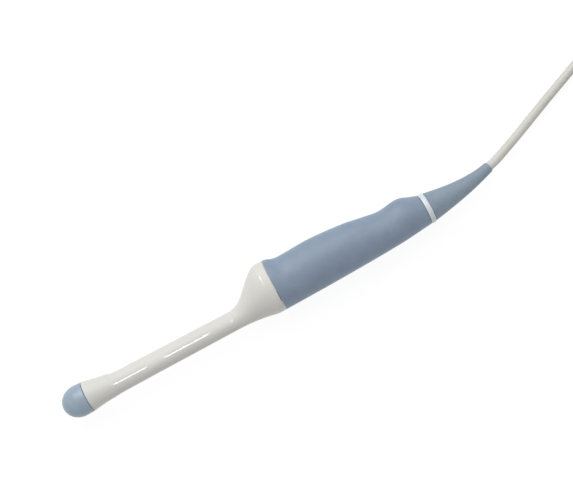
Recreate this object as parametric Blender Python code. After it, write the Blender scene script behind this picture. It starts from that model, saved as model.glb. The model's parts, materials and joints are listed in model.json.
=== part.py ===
"""An endocavity ultrasound probe at rest on its side, its cable wound in a hank and its connector face down.

Lengths are in metres. The probe is drawn in its own frame: x runs from the tip to the cable, y towards the
thumb side and z out of its left side. It is then laid on its side, where head and handle touch the floor.
"""

import math

import bmesh
import bpy
from mathutils import Matrix, Vector

MM = 0.001

# Clearances
SEAT_GAP = 0.3 * MM
SEAM_GAP = 0.3 * MM

# Acoustic lens, a silicone cap
LENS_RADIUS = 11.4 * MM
LENS_DOME_HEIGHT = 12.6 * MM
LENS_SKIRT = 6.4 * MM
LENS_SKIRT_TAPER = 0.2 * MM
LENS_WALL = 1.0 * MM
HEAD_OFFSET = 1.0 * MM
HEAD_SEGMENTS = 32

# Array stack behind the lens
ARRAY_RADIUS = 9.5 * MM
ARRAY_SPREAD = math.radians(140)
ARRAY_WIDTH = 6.0 * MM
ARRAY_SETBACK = 12.0 * MM
ELEMENT_COUNT = 24
KERF_SHARE = 0.3
MATCHING_THICKNESS = 0.5 * MM
CRYSTAL_THICKNESS = 0.7 * MM
BACKING_TAIL = 14.7 * MM
BACKING_HALF_HEIGHT = 7.4 * MM
CARRIER_LENGTH = 6.5 * MM

# Front housing: head flare, shaft, shoulder and collar in one moulding
HOUSING_WALL = 1.6 * MM
HOUSING_EDGE = 0.3 * MM
FLARE_LENGTH = 25.0 * MM
SHAFT_FRONT_RADIUS = 8.0 * MM
SHAFT_REAR_RADIUS = 7.35 * MM
SHAFT_LENGTH = 116.5 * MM
SHOULDER_LENGTH = 28.6 * MM
SHOULDER_CURVE = 0.93
COLLAR_LENGTH = 5.9 * MM
COLLAR_TOP = 27.7 * MM
COLLAR_BOTTOM = -10.6 * MM
COLLAR_HALF_WIDTH = 17.2 * MM
COLLAR_POWER = 2.3
SPIGOT_LENGTH = 8.0 * MM
SPIGOT_WALL = 2.4 * MM

# Recessed land on the shaft, where a needle guide seats
LAND_START = 19.2 * MM
LAND_END_MARGIN = 0.8 * MM
LAND_DEPTH = 0.5 * MM
LAND_RAMP = 0.8 * MM
LAND_CORNER = 3.0 * MM
LAND_EDGE_ANGLE = math.radians(3.0)

# Collar seal
SEAL_WIDTH = 1.6 * MM
SEAL_DEPTH = 1.0 * MM
SEAL_SETBACK = 3.2 * MM

# Handle
HANDLE_LENGTH = 118.3 * MM
HANDLE_WALL = 2.0 * MM
HANDLE_EDGE = 0.3 * MM
LAP_LENGTH = 1.2 * MM
RIB_HEIGHT = 1.6 * MM
RIB_THICKNESS = 1.6 * MM
RIB_FROM_COLLAR = 42.0 * MM
RIB_FROM_END = 38.3 * MM
RIB_SPLIT_MARGIN = 2.0 * MM
END_RADIUS = 11.1 * MM
END_CENTRE = 5.7 * MM
DIP_FROM_COLLAR = 11.0 * MM
DIP_TOP = 25.15 * MM
BACK_FROM_COLLAR = 34.0 * MM
BACK_TOP = 25.9 * MM
WAIST_FROM_END = 29.0 * MM
WAIST_TOP = 20.0 * MM
RIDGE_FROM_END = 15.5 * MM
RIDGE_TOP = 21.5 * MM
BACK_HALF_WIDTH = 16.6 * MM
WAIST_HALF_WIDTH = 14.3 * MM
RIDGE_HALF_WIDTH = 13.7 * MM
WAIST_BOTTOM = -8.0 * MM

# End ring
RING_LENGTH = 4.0 * MM
RING_WALL = 3.8 * MM
RING_SPIGOT_LENGTH = 5.0 * MM
RING_CROWN = 0.25 * MM

# Cable and strain relief
CABLE_DIAMETER = 6.5 * MM
BOOT_LENGTH = 50.7 * MM
BOOT_START_RADIUS = 10.7 * MM
BOOT_END_RADIUS = 3.95 * MM
BOOT_TAPER_POWER = 1.35
BOOT_BEND_POWER = 2.6
BOOT_SIDE_BEND = 5.25 * MM
BOOT_DROOP = 3.0 * MM
BOOT_FLANGE_LENGTH = 2.1 * MM
BOOT_FLANGE_LIP = 1.4 * MM
BOOT_SEGMENTS = 22
CABLE_SEGMENTS = 12
INNER_CABLE_LENGTH = 26.0 * MM

# Board, its connectors and the flexible circuits
BOARD_FROM_COLLAR = 14.0 * MM
BUNDLE_LENGTH = 11.5 * MM
BOARD_HEIGHT = 21.0 * MM
BOARD_CENTRE = 6.5 * MM
BOARD_THICKNESS = 1.6 * MM
BOARD_SCREW_INSET = 16.95 * MM
FLEX_WIDTH = 7.0 * MM
FLEX_THICKNESS = 0.3 * MM
FLEX_CONNECTOR_SIZE = (6.0 * MM, 10.0 * MM, 2.4 * MM)
FLEX_CONNECTOR_SETBACK = 4.0 * MM
BOSS_RADIUS = 3.0 * MM
SCREW_SEGMENTS = 9
SMALL_SCREW_RADIUS = 1.0 * MM
SMALL_SCREW_HEAD_RADIUS = 2.1 * MM
SMALL_SCREW_HEAD_HEIGHT = 1.4 * MM
BOARD_SCREW_LENGTH = 6.5 * MM

# Cable clamp in the handle
CLAMP_LENGTH = 9.0 * MM
CLAMP_HEIGHT = 16.0 * MM
CLAMP_HALF_WIDTH = 6.0 * MM
CLAMP_SCREW_SPACING = 10.8 * MM
CLAMP_SETBACK = 2.0 * MM
CLAMP_SCREW_LENGTH = 14.0 * MM
CRIMP_LENGTH = 4.0 * MM
CRIMP_WALL = 1.0 * MM
BUNDLE_RADIUS = 2.6 * MM
BUNDLE_FAN_HEIGHT = 12.0 * MM
BUNDLE_FAN_THICKNESS = 2.0 * MM

# The stored cable, wound into a long hank on the floor beyond the boot: two lanes wide, three turns deep
HANK_OFFSET = Vector((117.1, 13.0)) * MM
HANK_RUN = 108.0 * MM
HANK_PITCH = 6.7 * MM
HANK_INNER_LANE = 20.3 * MM
HANK_LIFT = 1.2 * MM
HANK_CLIMB = (0.22, 0.72)
TIE_SHARE = 0.12
TIE_THICKNESS = 0.8 * MM
TIE_WIDTH = 16.0 * MM

# Route of the cable's lead, in mm from the boot's end, and of its tail, from the hank's centre. Heights are
# above the floor
LEAD_ROUTE = [
    (13.0, 4.0, 9.1),
    (29.5, 10.4, 6.6),
    (45.0, 16.8, 4.8),
    (62.0, 23.9, 3.7),
    (78.0, 30.4, 3.4),
    (93.6, 36.7, 4.2),
]
TAIL_ROUTE = [
    (109.4, 27.0, 18.5),
    (121.0, 26.4, 18.5),
    (131.0, 23.7, 17.7),
    (140.0, 19.6, 15.8),
    (150.0, 13.8, 13.2),
    (159.5, 8.2, 11.5),
    (168.5, 3.8, 11.2),
    (176.6, 1.6, 12.3),
]

# Connector: a plug pod with a rotary lock, face down
CONNECTOR_FROM_HANK = Vector((272.0, 1.2)) * MM
CONNECTOR_LENGTH = 100.0 * MM
CONNECTOR_WIDTH = 58.0 * MM
CONNECTOR_CORNER = 9.0 * MM
CONNECTOR_WALL = 2.5 * MM
CONNECTOR_FILLET = 3.5 * MM
BASE_HEIGHT = 14.0 * MM
COVER_HEIGHT = 17.0 * MM
CORNER_POINTS = 4
PLUG_LENGTH = 62.0 * MM
PLUG_WIDTH = 38.0 * MM
PLUG_DEPTH = 9.0 * MM
PLUG_WALL = 1.6 * MM
PLUG_CORNER = 5.0 * MM
PLUG_FLANGE = 2.5 * MM
PLUG_FLANGE_THICKNESS = 1.2 * MM
INSERT_RECESS = 3.0 * MM
INSERT_TOP = 3.0 * MM
LOCK_SHAFT_RADIUS = 5.0 * MM
LOCK_COLLAR_RADIUS = 7.5 * MM
LOCK_COLLAR_HEIGHT = 2.0 * MM
LOCK_KEY_SIZE = (15.0 * MM, 4.5 * MM, 2.0 * MM)
KNOB_RADIUS = 15.0 * MM
KNOB_BASE_HEIGHT = 4.5 * MM
KNOB_BAR_SIZE = (46.0 * MM, 12.0 * MM, 11.0 * MM)
KNOB_SOCKET_DEPTH = 4.0 * MM
CONNECTOR_BOARD_SIZE = (66.0 * MM, 42.0 * MM, 1.6 * MM)
CONNECTOR_BOOT_LENGTH = 32.0 * MM
CONNECTOR_BOOT_START_RADIUS = 8.0 * MM
CONNECTOR_BOOT_NECK_RADIUS = 6.0 * MM
CONNECTOR_BOOT_DROOP = 6.0 * MM
CONNECTOR_BOOT_SEGMENTS = 16
CONNECTOR_CLAMP_SIZE = (9.0 * MM, 16.0 * MM, 17.0 * MM)
COVER_BOSS_RADIUS = 4.0 * MM
COVER_BOSS_INSET = 7.5 * MM
COVER_SCREW_RADIUS = 1.3 * MM
COVER_SCREW_HEAD_RADIUS = 2.6 * MM
COVER_SCREW_HEAD_HEIGHT = 1.8 * MM
COVER_SCREW_LENGTH = 19.0 * MM

# Places along the probe that follow from the sizes above
LENS_SEAM = LENS_DOME_HEIGHT + LENS_SKIRT
SHOULDER_START = LENS_SEAM + SHAFT_LENGTH
COLLAR_START = SHOULDER_START + SHOULDER_LENGTH
HANDLE_START = COLLAR_START + COLLAR_LENGTH
HANDLE_END = HANDLE_START + HANDLE_LENGTH
BOOT_START = HANDLE_END + RING_LENGTH
CABLE_RADIUS = CABLE_DIAMETER / 2
BORE_RADIUS = CABLE_RADIUS + SEAT_GAP
BOOT_NECK_RADIUS = END_RADIUS - RING_WALL - SEAT_GAP
BOOT_FLANGE_END = HANDLE_END - RING_SPIGOT_LENGTH - SEAT_GAP
INNER_CABLE_START = HANDLE_END - INNER_CABLE_LENGTH
CLAMP_START = INNER_CABLE_START + CLAMP_SETBACK
SEAL_START = HANDLE_START + SEAL_SETBACK
CRIMP_END = INNER_CABLE_START - SEAT_GAP
CRIMP_START = CRIMP_END - CRIMP_LENGTH
BUNDLE_START = CRIMP_END - SEAT_GAP - BUNDLE_LENGTH
BOARD_START = HANDLE_START + BOARD_FROM_COLLAR
BOARD_LENGTH = BUNDLE_START - SEAT_GAP - BOARD_START
CABLE_AXIS_HEIGHT = PLUG_DEPTH + BASE_HEIGHT


# Scene and materials


def clear_scene():
    for obj in list(bpy.data.objects):
        bpy.data.objects.remove(obj, do_unlink=True)


def linear(level):
    """One sRGB level, from 0 to 255, as linear light."""
    share = level / 255
    return share / 12.92 if share <= 0.04045 else ((share + 0.055) / 1.055) ** 2.4


def finish(name, rgb, roughness, metallic=0.0):
    material = bpy.data.materials.new(name)
    material.use_nodes = True
    shader = material.node_tree.nodes["Principled BSDF"]
    shader.inputs["Base Color"].default_value = [linear(level) for level in rgb] + [1.0]
    shader.inputs["Roughness"].default_value = roughness
    shader.inputs["Metallic"].default_value = metallic
    return material


def frame_empty(name, parent=None, location=(0, 0, 0)):
    empty = bpy.data.objects.new(name, None)
    bpy.context.scene.collection.objects.link(empty)
    empty.parent = parent
    empty.location = location
    return empty


def add_object(name, bm, material, parent, helper=False):
    """The finished mesh as one named object, smooth but for its sharp edges."""
    bmesh.ops.recalc_face_normals(bm, faces=bm.faces)
    mesh = bpy.data.meshes.new(name)
    bm.to_mesh(mesh)
    bm.free()
    mesh.shade_smooth()
    mesh.set_sharp_from_angle(angle=math.radians(35))
    obj = bpy.data.objects.new(name, mesh)
    bpy.context.scene.collection.objects.link(obj)
    obj.parent = parent
    if material:
        mesh.materials.append(material)
    if helper:
        obj.hide_render = True
        obj.display_type = "WIRE"
    return obj


def combine(target, tool, operation):
    modifier = target.modifiers.new(tool.name, "BOOLEAN")
    modifier.operation = operation
    modifier.object = tool


# Shapes


def lerp(start, end, share):
    return start + (end - start) * share


def ease(share):
    """A smooth step from 0 to 1."""
    share = min(max(share, 0.0), 1.0)
    return share * share * (3 - 2 * share)


def smooth_curve(stations, x):
    """The height at x of a curve through (x, height) stations that never overshoots them."""
    xs = [station[0] for station in stations]
    ys = [station[1] for station in stations]
    if x <= xs[0]:
        return ys[0]
    if x >= xs[-1]:
        return ys[-1]
    slopes = [(ys[i + 1] - ys[i]) / (xs[i + 1] - xs[i]) for i in range(len(xs) - 1)]
    tangents = [slopes[0]]
    for before, after in zip(slopes, slopes[1:]):
        tangents.append(2 * before * after / (before + after) if before * after > 0 else 0.0)
    tangents.append(slopes[-1])
    i = max(k for k in range(len(xs) - 1) if xs[k] <= x)
    step = xs[i + 1] - xs[i]
    t = (x - xs[i]) / step
    return (
        (2 * t**3 - 3 * t**2 + 1) * ys[i]
        + (t**3 - 2 * t**2 + t) * step * tangents[i]
        + (3 * t**2 - 2 * t**3) * ys[i + 1]
        + (t**3 - t**2) * step * tangents[i + 1]
    )


def signed_power(value, power):
    return math.copysign(abs(value) ** power, value)


def oval_point(x, section, angle, inset=0.0):
    """The point of an oval section at an angle that runs from +z towards +y."""
    bottom, top, half_width, power = section
    height = (top - bottom) / 2 - inset
    width = half_width - inset
    return Vector(
        (
            x,
            (top + bottom) / 2 + height * signed_power(math.sin(angle), 2 / power),
            width * signed_power(math.cos(angle), 2 / power),
        )
    )


def loft(rings, closed=False):
    """A mesh through rings of equally many points. A closed loft joins the last ring to the first."""
    bm = bmesh.new()
    loops = [[bm.verts.new(point) for point in ring] for ring in rings]
    pairs = list(zip(loops, loops[1:]))
    if closed:
        pairs.append((loops[-1], loops[0]))
    else:
        bm.faces.new(loops[0])
        bm.faces.new(loops[-1])
    for one, other in pairs:
        for i in range(len(one)):
            j = (i + 1) % len(one)
            bm.faces.new((one[i], one[j], other[j], other[i]))
    return bm


def turned(profile, segments, axis="X", offset=(0, 0, 0), closed=False):
    """A profile of (along, radius) points spun round the axis. An open one starts and ends on the axis."""
    bm = bmesh.new()
    along, out = Vector((1, 0, 0)), Vector((0, 1, 0))
    if axis != "X":
        along, out = Vector((0, 0, 1)), Vector((1, 0, 0))
    verts = [bm.verts.new(along * a + out * r) for a, r in profile]
    edges = [bm.edges.new(pair) for pair in zip(verts, verts[1:])]
    if closed:
        edges.append(bm.edges.new((verts[-1], verts[0])))
    bmesh.ops.spin(bm, geom=verts + edges, axis=along, cent=(0, 0, 0), steps=segments, angle=math.tau)
    bmesh.ops.remove_doubles(bm, verts=bm.verts, dist=1e-6)
    bmesh.ops.translate(bm, verts=bm.verts, vec=offset)
    return bm


def extruded(outline, depth, start=0.0, plane="XY"):
    """A closed outline pulled along its plane's normal, from start to start + depth."""
    place = {
        "XY": lambda u, v, w: (u, v, w),
        "XZ": lambda u, v, w: (u, w, v),
        "YZ": lambda u, v, w: (w, u, v),
    }[plane]
    return loft([[Vector(place(u, v, w)) for u, v in outline] for w in (start, start + depth)])


def block(low, high):
    outline = [(low[0], low[1]), (high[0], low[1]), (high[0], high[1]), (low[0], high[1])]
    return extruded(outline, high[2] - low[2], start=low[2])


def cylinder(radius, start, end, centre, axis="Z", segments=16):
    """A plain round bar from start to end along its axis, through centre on the other two."""
    ring = []
    for i in range(segments):
        angle = math.tau * i / segments
        ring.append((radius * math.cos(angle), radius * math.sin(angle)))
    outline = [(centre[0] + u, centre[1] + v) for u, v in ring]
    return extruded(outline, end - start, start=start, plane={"Z": "XY", "Y": "XZ", "X": "YZ"}[axis])


def join_meshes(parts):
    """Several separate meshes in one, for use as one cutter."""
    bm = bmesh.new()
    for part in parts:
        mesh = bpy.data.meshes.new("part")
        bmesh.ops.recalc_face_normals(part, faces=part.faces)
        part.to_mesh(mesh)
        part.free()
        bm.from_mesh(mesh)
        bpy.data.meshes.remove(mesh)
    return bm


def rounded_rectangle(length, width, corner, z):
    """A ring of points round a rectangle with round corners, at height z."""
    ring = []
    for quarter in range(4):
        sign_x = 1 if quarter in (0, 3) else -1
        sign_y = 1 if quarter in (0, 1) else -1
        for i in range(CORNER_POINTS):
            angle = math.pi / 2 * (quarter + i / (CORNER_POINTS - 1))
            ring.append(
                Vector(
                    (
                        sign_x * (length / 2 - corner) + corner * math.cos(angle),
                        sign_y * (width / 2 - corner) + corner * math.sin(angle),
                        z,
                    )
                )
            )
    return ring


def round_hole(radius, z):
    """A ring of points round a circle, in step with the points of a rounded rectangle."""
    count = 4 * CORNER_POINTS
    return [
        Vector((radius * math.cos(angle), radius * math.sin(angle), z))
        for angle in (math.tau * (i + 0.5) / count for i in range(count))
    ]


def tube_rings(path, radii, segments):
    """Rings square to a smooth path, one radius each."""
    rings = []
    for i, centre in enumerate(path):
        ahead = path[min(i + 1, len(path) - 1)] - path[max(i - 1, 0)]
        side = Vector((0, 0, 1)).cross(ahead).normalized()
        over = ahead.cross(side).normalized()
        rings.append(
            [
                centre + radii[i] * (math.cos(angle) * over + math.sin(angle) * side)
                for angle in (math.tau * k / segments for k in range(segments))
            ]
        )
    return rings


# The probe's outer form


def flare_radius(x):
    distance = x - LENS_SEAM
    lens_end = LENS_RADIUS - LENS_SKIRT_TAPER
    span = lens_end - SHAFT_FRONT_RADIUS
    stations = [
        (0.0, lens_end),
        (0.25 * FLARE_LENGTH, lens_end - 0.34 * span),
        (0.6 * FLARE_LENGTH, lens_end - 0.72 * span),
        (FLARE_LENGTH, SHAFT_FRONT_RADIUS),
        (SHAFT_LENGTH, SHAFT_REAR_RADIUS),
    ]
    return smooth_curve(stations, distance)


def housing_section(x):
    """(bottom, top, half width, power) of the front housing's outside at x."""
    if x <= SHOULDER_START:
        centre = HEAD_OFFSET * (1 - ease((x - LENS_SEAM) / FLARE_LENGTH))
        radius = flare_radius(x)
        return centre - radius, centre + radius, radius, 2.0
    share = min((x - SHOULDER_START) / SHOULDER_LENGTH, 1.0)
    rise = ease(share * SHOULDER_CURVE) / ease(SHOULDER_CURVE)
    return (
        lerp(-SHAFT_REAR_RADIUS, COLLAR_BOTTOM, share**2),
        lerp(SHAFT_REAR_RADIUS, COLLAR_TOP, rise),
        lerp(SHAFT_REAR_RADIUS, COLLAR_HALF_WIDTH, rise),
        lerp(2.0, COLLAR_POWER, share),
    )


def handle_section(x):
    """(bottom, top, half width, power) of the handle's outside at x."""
    distance = x - HANDLE_START
    waist = HANDLE_LENGTH - WAIST_FROM_END
    ridge = HANDLE_LENGTH - RIDGE_FROM_END
    middle = (BACK_FROM_COLLAR + waist) / 2
    top = [
        (0.0, COLLAR_TOP),
        (0.25 * DIP_FROM_COLLAR, COLLAR_TOP - 0.12 * (COLLAR_TOP - DIP_TOP)),
        (0.65 * DIP_FROM_COLLAR, COLLAR_TOP - 0.75 * (COLLAR_TOP - DIP_TOP)),
        (DIP_FROM_COLLAR, DIP_TOP),
        (BACK_FROM_COLLAR, BACK_TOP),
        (middle, lerp(BACK_TOP, WAIST_TOP, 0.3)),
        (lerp(middle, waist, 0.55), lerp(BACK_TOP, WAIST_TOP, 0.72)),
        (waist, WAIST_TOP),
        (ridge, RIDGE_TOP),
        (lerp(ridge, HANDLE_LENGTH, 0.25), lerp(RIDGE_TOP, END_CENTRE + END_RADIUS, 0.1)),
        (lerp(ridge, HANDLE_LENGTH, 0.6), lerp(RIDGE_TOP, END_CENTRE + END_RADIUS, 0.55)),
        (HANDLE_LENGTH, END_CENTRE + END_RADIUS),
    ]
    bottom = [
        (0.0, COLLAR_BOTTOM),
        (BACK_FROM_COLLAR, lerp(COLLAR_BOTTOM, WAIST_BOTTOM, 0.25)),
        (waist, WAIST_BOTTOM),
        (HANDLE_LENGTH, END_CENTRE - END_RADIUS),
    ]
    half_width = [
        (0.0, COLLAR_HALF_WIDTH),
        (DIP_FROM_COLLAR, BACK_HALF_WIDTH - 0.3 * MM),
        (BACK_FROM_COLLAR, BACK_HALF_WIDTH),
        (waist, WAIST_HALF_WIDTH),
        (ridge, RIDGE_HALF_WIDTH),
        (HANDLE_LENGTH, END_RADIUS),
    ]
    power = [(0.0, COLLAR_POWER), (waist, COLLAR_POWER), (HANDLE_LENGTH, 2.0)]
    return tuple(smooth_curve(stations, distance) for stations in (bottom, top, half_width, power))


def boot_path(share):
    """The strain relief's centre line, bent towards the thumb side and drooping to the floor."""
    bend = max(share, 0.0) ** BOOT_BEND_POWER
    x = BOOT_START + share * BOOT_LENGTH
    return Vector((x, END_CENTRE + BOOT_SIDE_BEND * bend, -BOOT_DROOP * bend))


# Probe head


def dome(inset, steps):
    """(along, radius) points of the lens's dome from its tip to its skirt, set in by inset."""
    height, radius = LENS_DOME_HEIGHT - inset, LENS_RADIUS - inset
    angles = [math.pi / 2 * i / steps for i in range(steps + 1)]
    return [(LENS_DOME_HEIGHT - height * math.cos(angle), radius * math.sin(angle)) for angle in angles]


def make_lens(material, parent):
    end = LENS_SEAM - SEAM_GAP / 2
    edge = LENS_RADIUS - LENS_SKIRT_TAPER
    rim = [(end - HOUSING_EDGE, edge), (end, edge - HOUSING_EDGE), (end, LENS_RADIUS - LENS_WALL)]
    profile = dome(0.0, 7) + rim + dome(LENS_WALL, 4)[::-1]
    bm = turned(profile, HEAD_SEGMENTS, offset=(0, HEAD_OFFSET, 0))
    return add_object("acoustic_lens", bm, material, parent)


def array_arc(radius, steps):
    points = []
    for i in range(steps + 1):
        angle = ARRAY_SPREAD * (i / steps - 0.5)
        points.append((ARRAY_SETBACK - radius * math.cos(angle), HEAD_OFFSET + radius * math.sin(angle)))
    return points


def make_array(materials, parent):
    width = ARRAY_WIDTH
    layer = array_arc(ARRAY_RADIUS, 16) + array_arc(ARRAY_RADIUS - MATCHING_THICKNESS, 16)[::-1]
    add_object("matching_layer", extruded(layer, width, -width / 2), materials["epoxy"], parent)

    face = ARRAY_RADIUS - MATCHING_THICKNESS - SEAT_GAP
    back = face - CRYSTAL_THICKNESS
    kerf_floor = lerp(back, face, 0.35)
    diced = []
    pitch = ARRAY_SPREAD / ELEMENT_COUNT
    for i in range(ELEMENT_COUNT):
        start = -ARRAY_SPREAD / 2 + i * pitch
        cut = start + pitch * (1 - KERF_SHARE)
        steps = [(start, face), (cut, face)]
        if i < ELEMENT_COUNT - 1:
            steps += [(cut, kerf_floor), (start + pitch, kerf_floor)]
        for angle, radius in steps:
            diced.append((ARRAY_SETBACK - radius * math.cos(angle), HEAD_OFFSET + radius * math.sin(angle)))
    last = ARRAY_SPREAD / 2 - pitch * KERF_SHARE
    underside = [
        (ARRAY_SETBACK - back * math.cos(angle), HEAD_OFFSET + back * math.sin(angle))
        for angle in (lerp(last, -ARRAY_SPREAD / 2, i / 16) for i in range(17))
    ]
    add_object("crystal_array", extruded(diced + underside, width, -width / 2), materials["ceramic"], parent)

    block_face = array_arc(back - SEAT_GAP, 16)
    tail = [(BACKING_TAIL, HEAD_OFFSET + side * BACKING_HALF_HEIGHT) for side in (1, -1)]
    add_object("backing_block", extruded(block_face + tail, width, -width / 2), materials["absorber"], parent)


def flex_height():
    """How far each flexible circuit lies from the plane of symmetry, beside the array."""
    return ARRAY_WIDTH / 2 + SEAT_GAP


def spigot_radius():
    return LENS_RADIUS - LENS_WALL - SEAT_GAP


def make_carrier(material, parent):
    """The seat behind the array, with a slot for each flexible circuit."""
    radius = spigot_radius() - HOUSING_WALL - SEAT_GAP
    start = BACKING_TAIL + SEAT_GAP
    profile = [(start, 0), (start, radius), (start + CARRIER_LENGTH, radius), (start + CARRIER_LENGTH, 0)]
    carrier = add_object(
        "array_carrier", turned(profile, HEAD_SEGMENTS, offset=(0, HEAD_OFFSET, 0)), material, parent
    )
    slots = []
    half = FLEX_WIDTH / 2 + SEAT_GAP
    for side in (1, -1):
        inner = side * (flex_height() - SEAT_GAP)
        outer = side * (flex_height() + FLEX_THICKNESS + SEAT_GAP)
        low = (start - MM, -half, min(inner, outer))
        high = (start + CARRIER_LENGTH + MM, half, max(inner, outer))
        slots.append(block(low, high))
    cutter = add_object("carrier_slots", join_meshes(slots), None, parent, helper=True)
    combine(carrier, cutter, "DIFFERENCE")


# Front housing


def housing_angles():
    """Angles round the housing, with a close pair at each long edge of the land."""
    angles = []
    half = HEAD_SEGMENTS // 2
    for start in (0.0, math.pi):
        angles.append(start - LAND_EDGE_ANGLE)
        angles.append(start + LAND_EDGE_ANGLE)
        angles += [start + math.pi * i / half for i in range(1, half)]
    return angles


def land_points(x, depth, direction=0):
    """A ring of the shaft with its thumb side sunk by depth. At the land's ends its corners are round."""
    section = housing_section(x)
    ring = []
    for angle in housing_angles():
        on_land = LAND_EDGE_ANGLE - 1e-9 <= angle <= math.pi - LAND_EDGE_ANGLE + 1e-9
        place = x
        if on_land and direction:
            from_edge = section[2] * min(angle - LAND_EDGE_ANGLE, math.pi - LAND_EDGE_ANGLE - angle)
            short = max(LAND_CORNER - from_edge, 0.0)
            place += direction * (LAND_CORNER - math.sqrt(LAND_CORNER**2 - short**2))
        ring.append(oval_point(place, section, angle, depth if on_land else 0.0))
    return ring


def housing_ring(x, section, inset=0.0):
    return [oval_point(x, section, angle, inset) for angle in housing_angles()]


def spigot_ring(x, inset):
    """A ring of the rear spigot, which follows the handle's inside."""
    return housing_ring(x, handle_section(x), inset)


def make_housing(material, parent):
    seam = LENS_SEAM + SEAM_GAP / 2
    collar_end = HANDLE_START - SEAM_GAP / 2
    land_start = LENS_SEAM + LAND_START
    land_end = SHOULDER_START - LAND_END_MARGIN
    head = housing_section(LENS_SEAM)
    collar = housing_section(HANDLE_START)
    front = LENS_DOME_HEIGHT + SEAT_GAP
    head_spigot = (HEAD_OFFSET - spigot_radius(), HEAD_OFFSET + spigot_radius(), spigot_radius(), 2.0)

    rings = [housing_ring(front, head_spigot), housing_ring(seam, head_spigot)]
    rings += [housing_ring(seam, head, HOUSING_EDGE), housing_ring(seam + HOUSING_EDGE, head)]
    flare_steps = 4
    for i in range(1, flare_steps):
        x = lerp(seam, land_start - LAND_RAMP, i / flare_steps)
        rings.append(housing_ring(x, housing_section(x)))
    rings.append(land_points(land_start - LAND_RAMP / 2, 0.0, 1))
    rings.append(land_points(land_start + LAND_RAMP / 2, LAND_DEPTH, 1))
    for share in (0.08, 0.45, 0.95):
        rings.append(land_points(lerp(land_start, land_end, share), LAND_DEPTH))
    rings.append(land_points(land_end - LAND_RAMP / 2, LAND_DEPTH, -1))
    rings.append(land_points(land_end + LAND_RAMP / 2, 0.0, -1))
    shoulder_steps = 8
    for i in range(1, shoulder_steps):
        x = lerp(SHOULDER_START, COLLAR_START, i / (shoulder_steps - 1))
        rings.append(housing_ring(x, housing_section(x)))
    rings += [housing_ring(collar_end - HOUSING_EDGE, collar), housing_ring(collar_end, collar, HOUSING_EDGE)]

    spigot = HANDLE_WALL + 2 * SEAT_GAP
    groove = spigot + SEAL_DEPTH - SEAT_GAP
    groove_start = SEAL_START - SEAT_GAP
    groove_end = SEAL_START + SEAL_WIDTH + SEAT_GAP
    end = HANDLE_START + SPIGOT_LENGTH
    rings += [spigot_ring(collar_end, spigot), spigot_ring(groove_start, spigot)]
    rings += [spigot_ring(groove_start, groove), spigot_ring(groove_end, groove)]
    rings += [spigot_ring(groove_end, spigot), spigot_ring(end, spigot)]

    bore = spigot + SPIGOT_WALL
    rings += [spigot_ring(end, bore), housing_ring(COLLAR_START, housing_section(COLLAR_START), bore)]
    for share in (0.6, 0.3, 0.0):
        x = lerp(SHOULDER_START, COLLAR_START, share)
        wall = lerp(HOUSING_WALL + LAND_DEPTH / 2, bore, share)
        rings.append(housing_ring(x, housing_section(x), wall))
    for x in (land_start, LENS_SEAM + 0.45 * LAND_START):
        rings.append(housing_ring(x, housing_section(x), HOUSING_WALL + LAND_DEPTH / 2))
    carrier_end = BACKING_TAIL + CARRIER_LENGTH + 2 * SEAT_GAP
    rings += [housing_ring(x, head_spigot, HOUSING_WALL) for x in (carrier_end, front)]
    return add_object("shaft_housing", loft(rings, closed=True), material, parent)


def make_seal(material, parent):
    outer = HANDLE_WALL + SEAT_GAP
    inner = outer + SEAL_DEPTH - SEAT_GAP
    ends = (SEAL_START, SEAL_START + SEAL_WIDTH)
    corners = [(ends[0], outer), (ends[1], outer), (ends[1], inner), (ends[0], inner)]
    rings = [spigot_ring(x, inset) for x, inset in corners]
    return add_object("collar_seal", loft(rings, closed=True), material, parent)


# Handle


def half_section(x, side, tongue, outer_inset=0.0):
    """One grip half's section at x: outer wall, lap joint at each split, and inner wall."""
    section = handle_section(x)
    split = SEAM_GAP / 2
    step = HANDLE_WALL / 2 + (split if tongue else -split)
    lap = -LAP_LENGTH if tongue else LAP_LENGTH + SEAT_GAP
    bottom, top = section[0] + outer_inset, section[1] - outer_inset
    outline = []
    outer_steps, inner_steps = 16, 12
    for i in range(outer_steps + 1):
        point = oval_point(x, section, math.pi * (0.5 - i / outer_steps), outer_inset)
        outline.append((point.y, max(point.z, split)))
    outline += [(section[0] + step, split), (section[0] + step, lap), (section[0] + HANDLE_WALL, lap)]
    for i in range(1, inner_steps):
        point = oval_point(x, section, math.pi * (i / inner_steps - 0.5), HANDLE_WALL)
        outline.append((point.y, max(point.z, lap + MM / 10)))
    outline += [(section[1] - HANDLE_WALL, lap), (section[1] - step, lap), (section[1] - step, split)]
    outline[0] = (top, split)
    outline[outer_steps] = (bottom, split)
    return [Vector((x, y, side * z)) for y, z in outline]


def side_arc(x, level, inset, side, steps=9):
    """The part of the handle's section at x that lies beyond level on one side, from top to bottom."""
    section = handle_section(x)
    reach = math.acos((level / (section[2] - inset)) ** (section[3] / 2))
    arc = [oval_point(x, section, reach * (1 - 2 * i / steps), inset) for i in range(steps + 1)]
    return [Vector((x, p.y, side * p.z)) for p in arc]


def handle_stations():
    """Where the grip halves' sections lie: closer where the back dips and where the thumb ridge stands."""
    start, end = HANDLE_START + SEAM_GAP / 2, HANDLE_END - SEAM_GAP / 2
    waist, ridge = HANDLE_END - WAIST_FROM_END, HANDLE_END - RIDGE_FROM_END
    dip, back = HANDLE_START + DIP_FROM_COLLAR, HANDLE_START + BACK_FROM_COLLAR
    places = [lerp(start, dip, share) for share in (0.3, 0.62, 1.0)]
    places += [back]
    places += [lerp(back, waist, share) for share in (0.3, 0.55, 0.78, 1.0)]
    places += [lerp(waist, ridge, share) for share in (0.5, 1.0)]
    places += [lerp(ridge, end, share) for share in (0.3, 0.65)]
    return start, places, end


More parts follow.
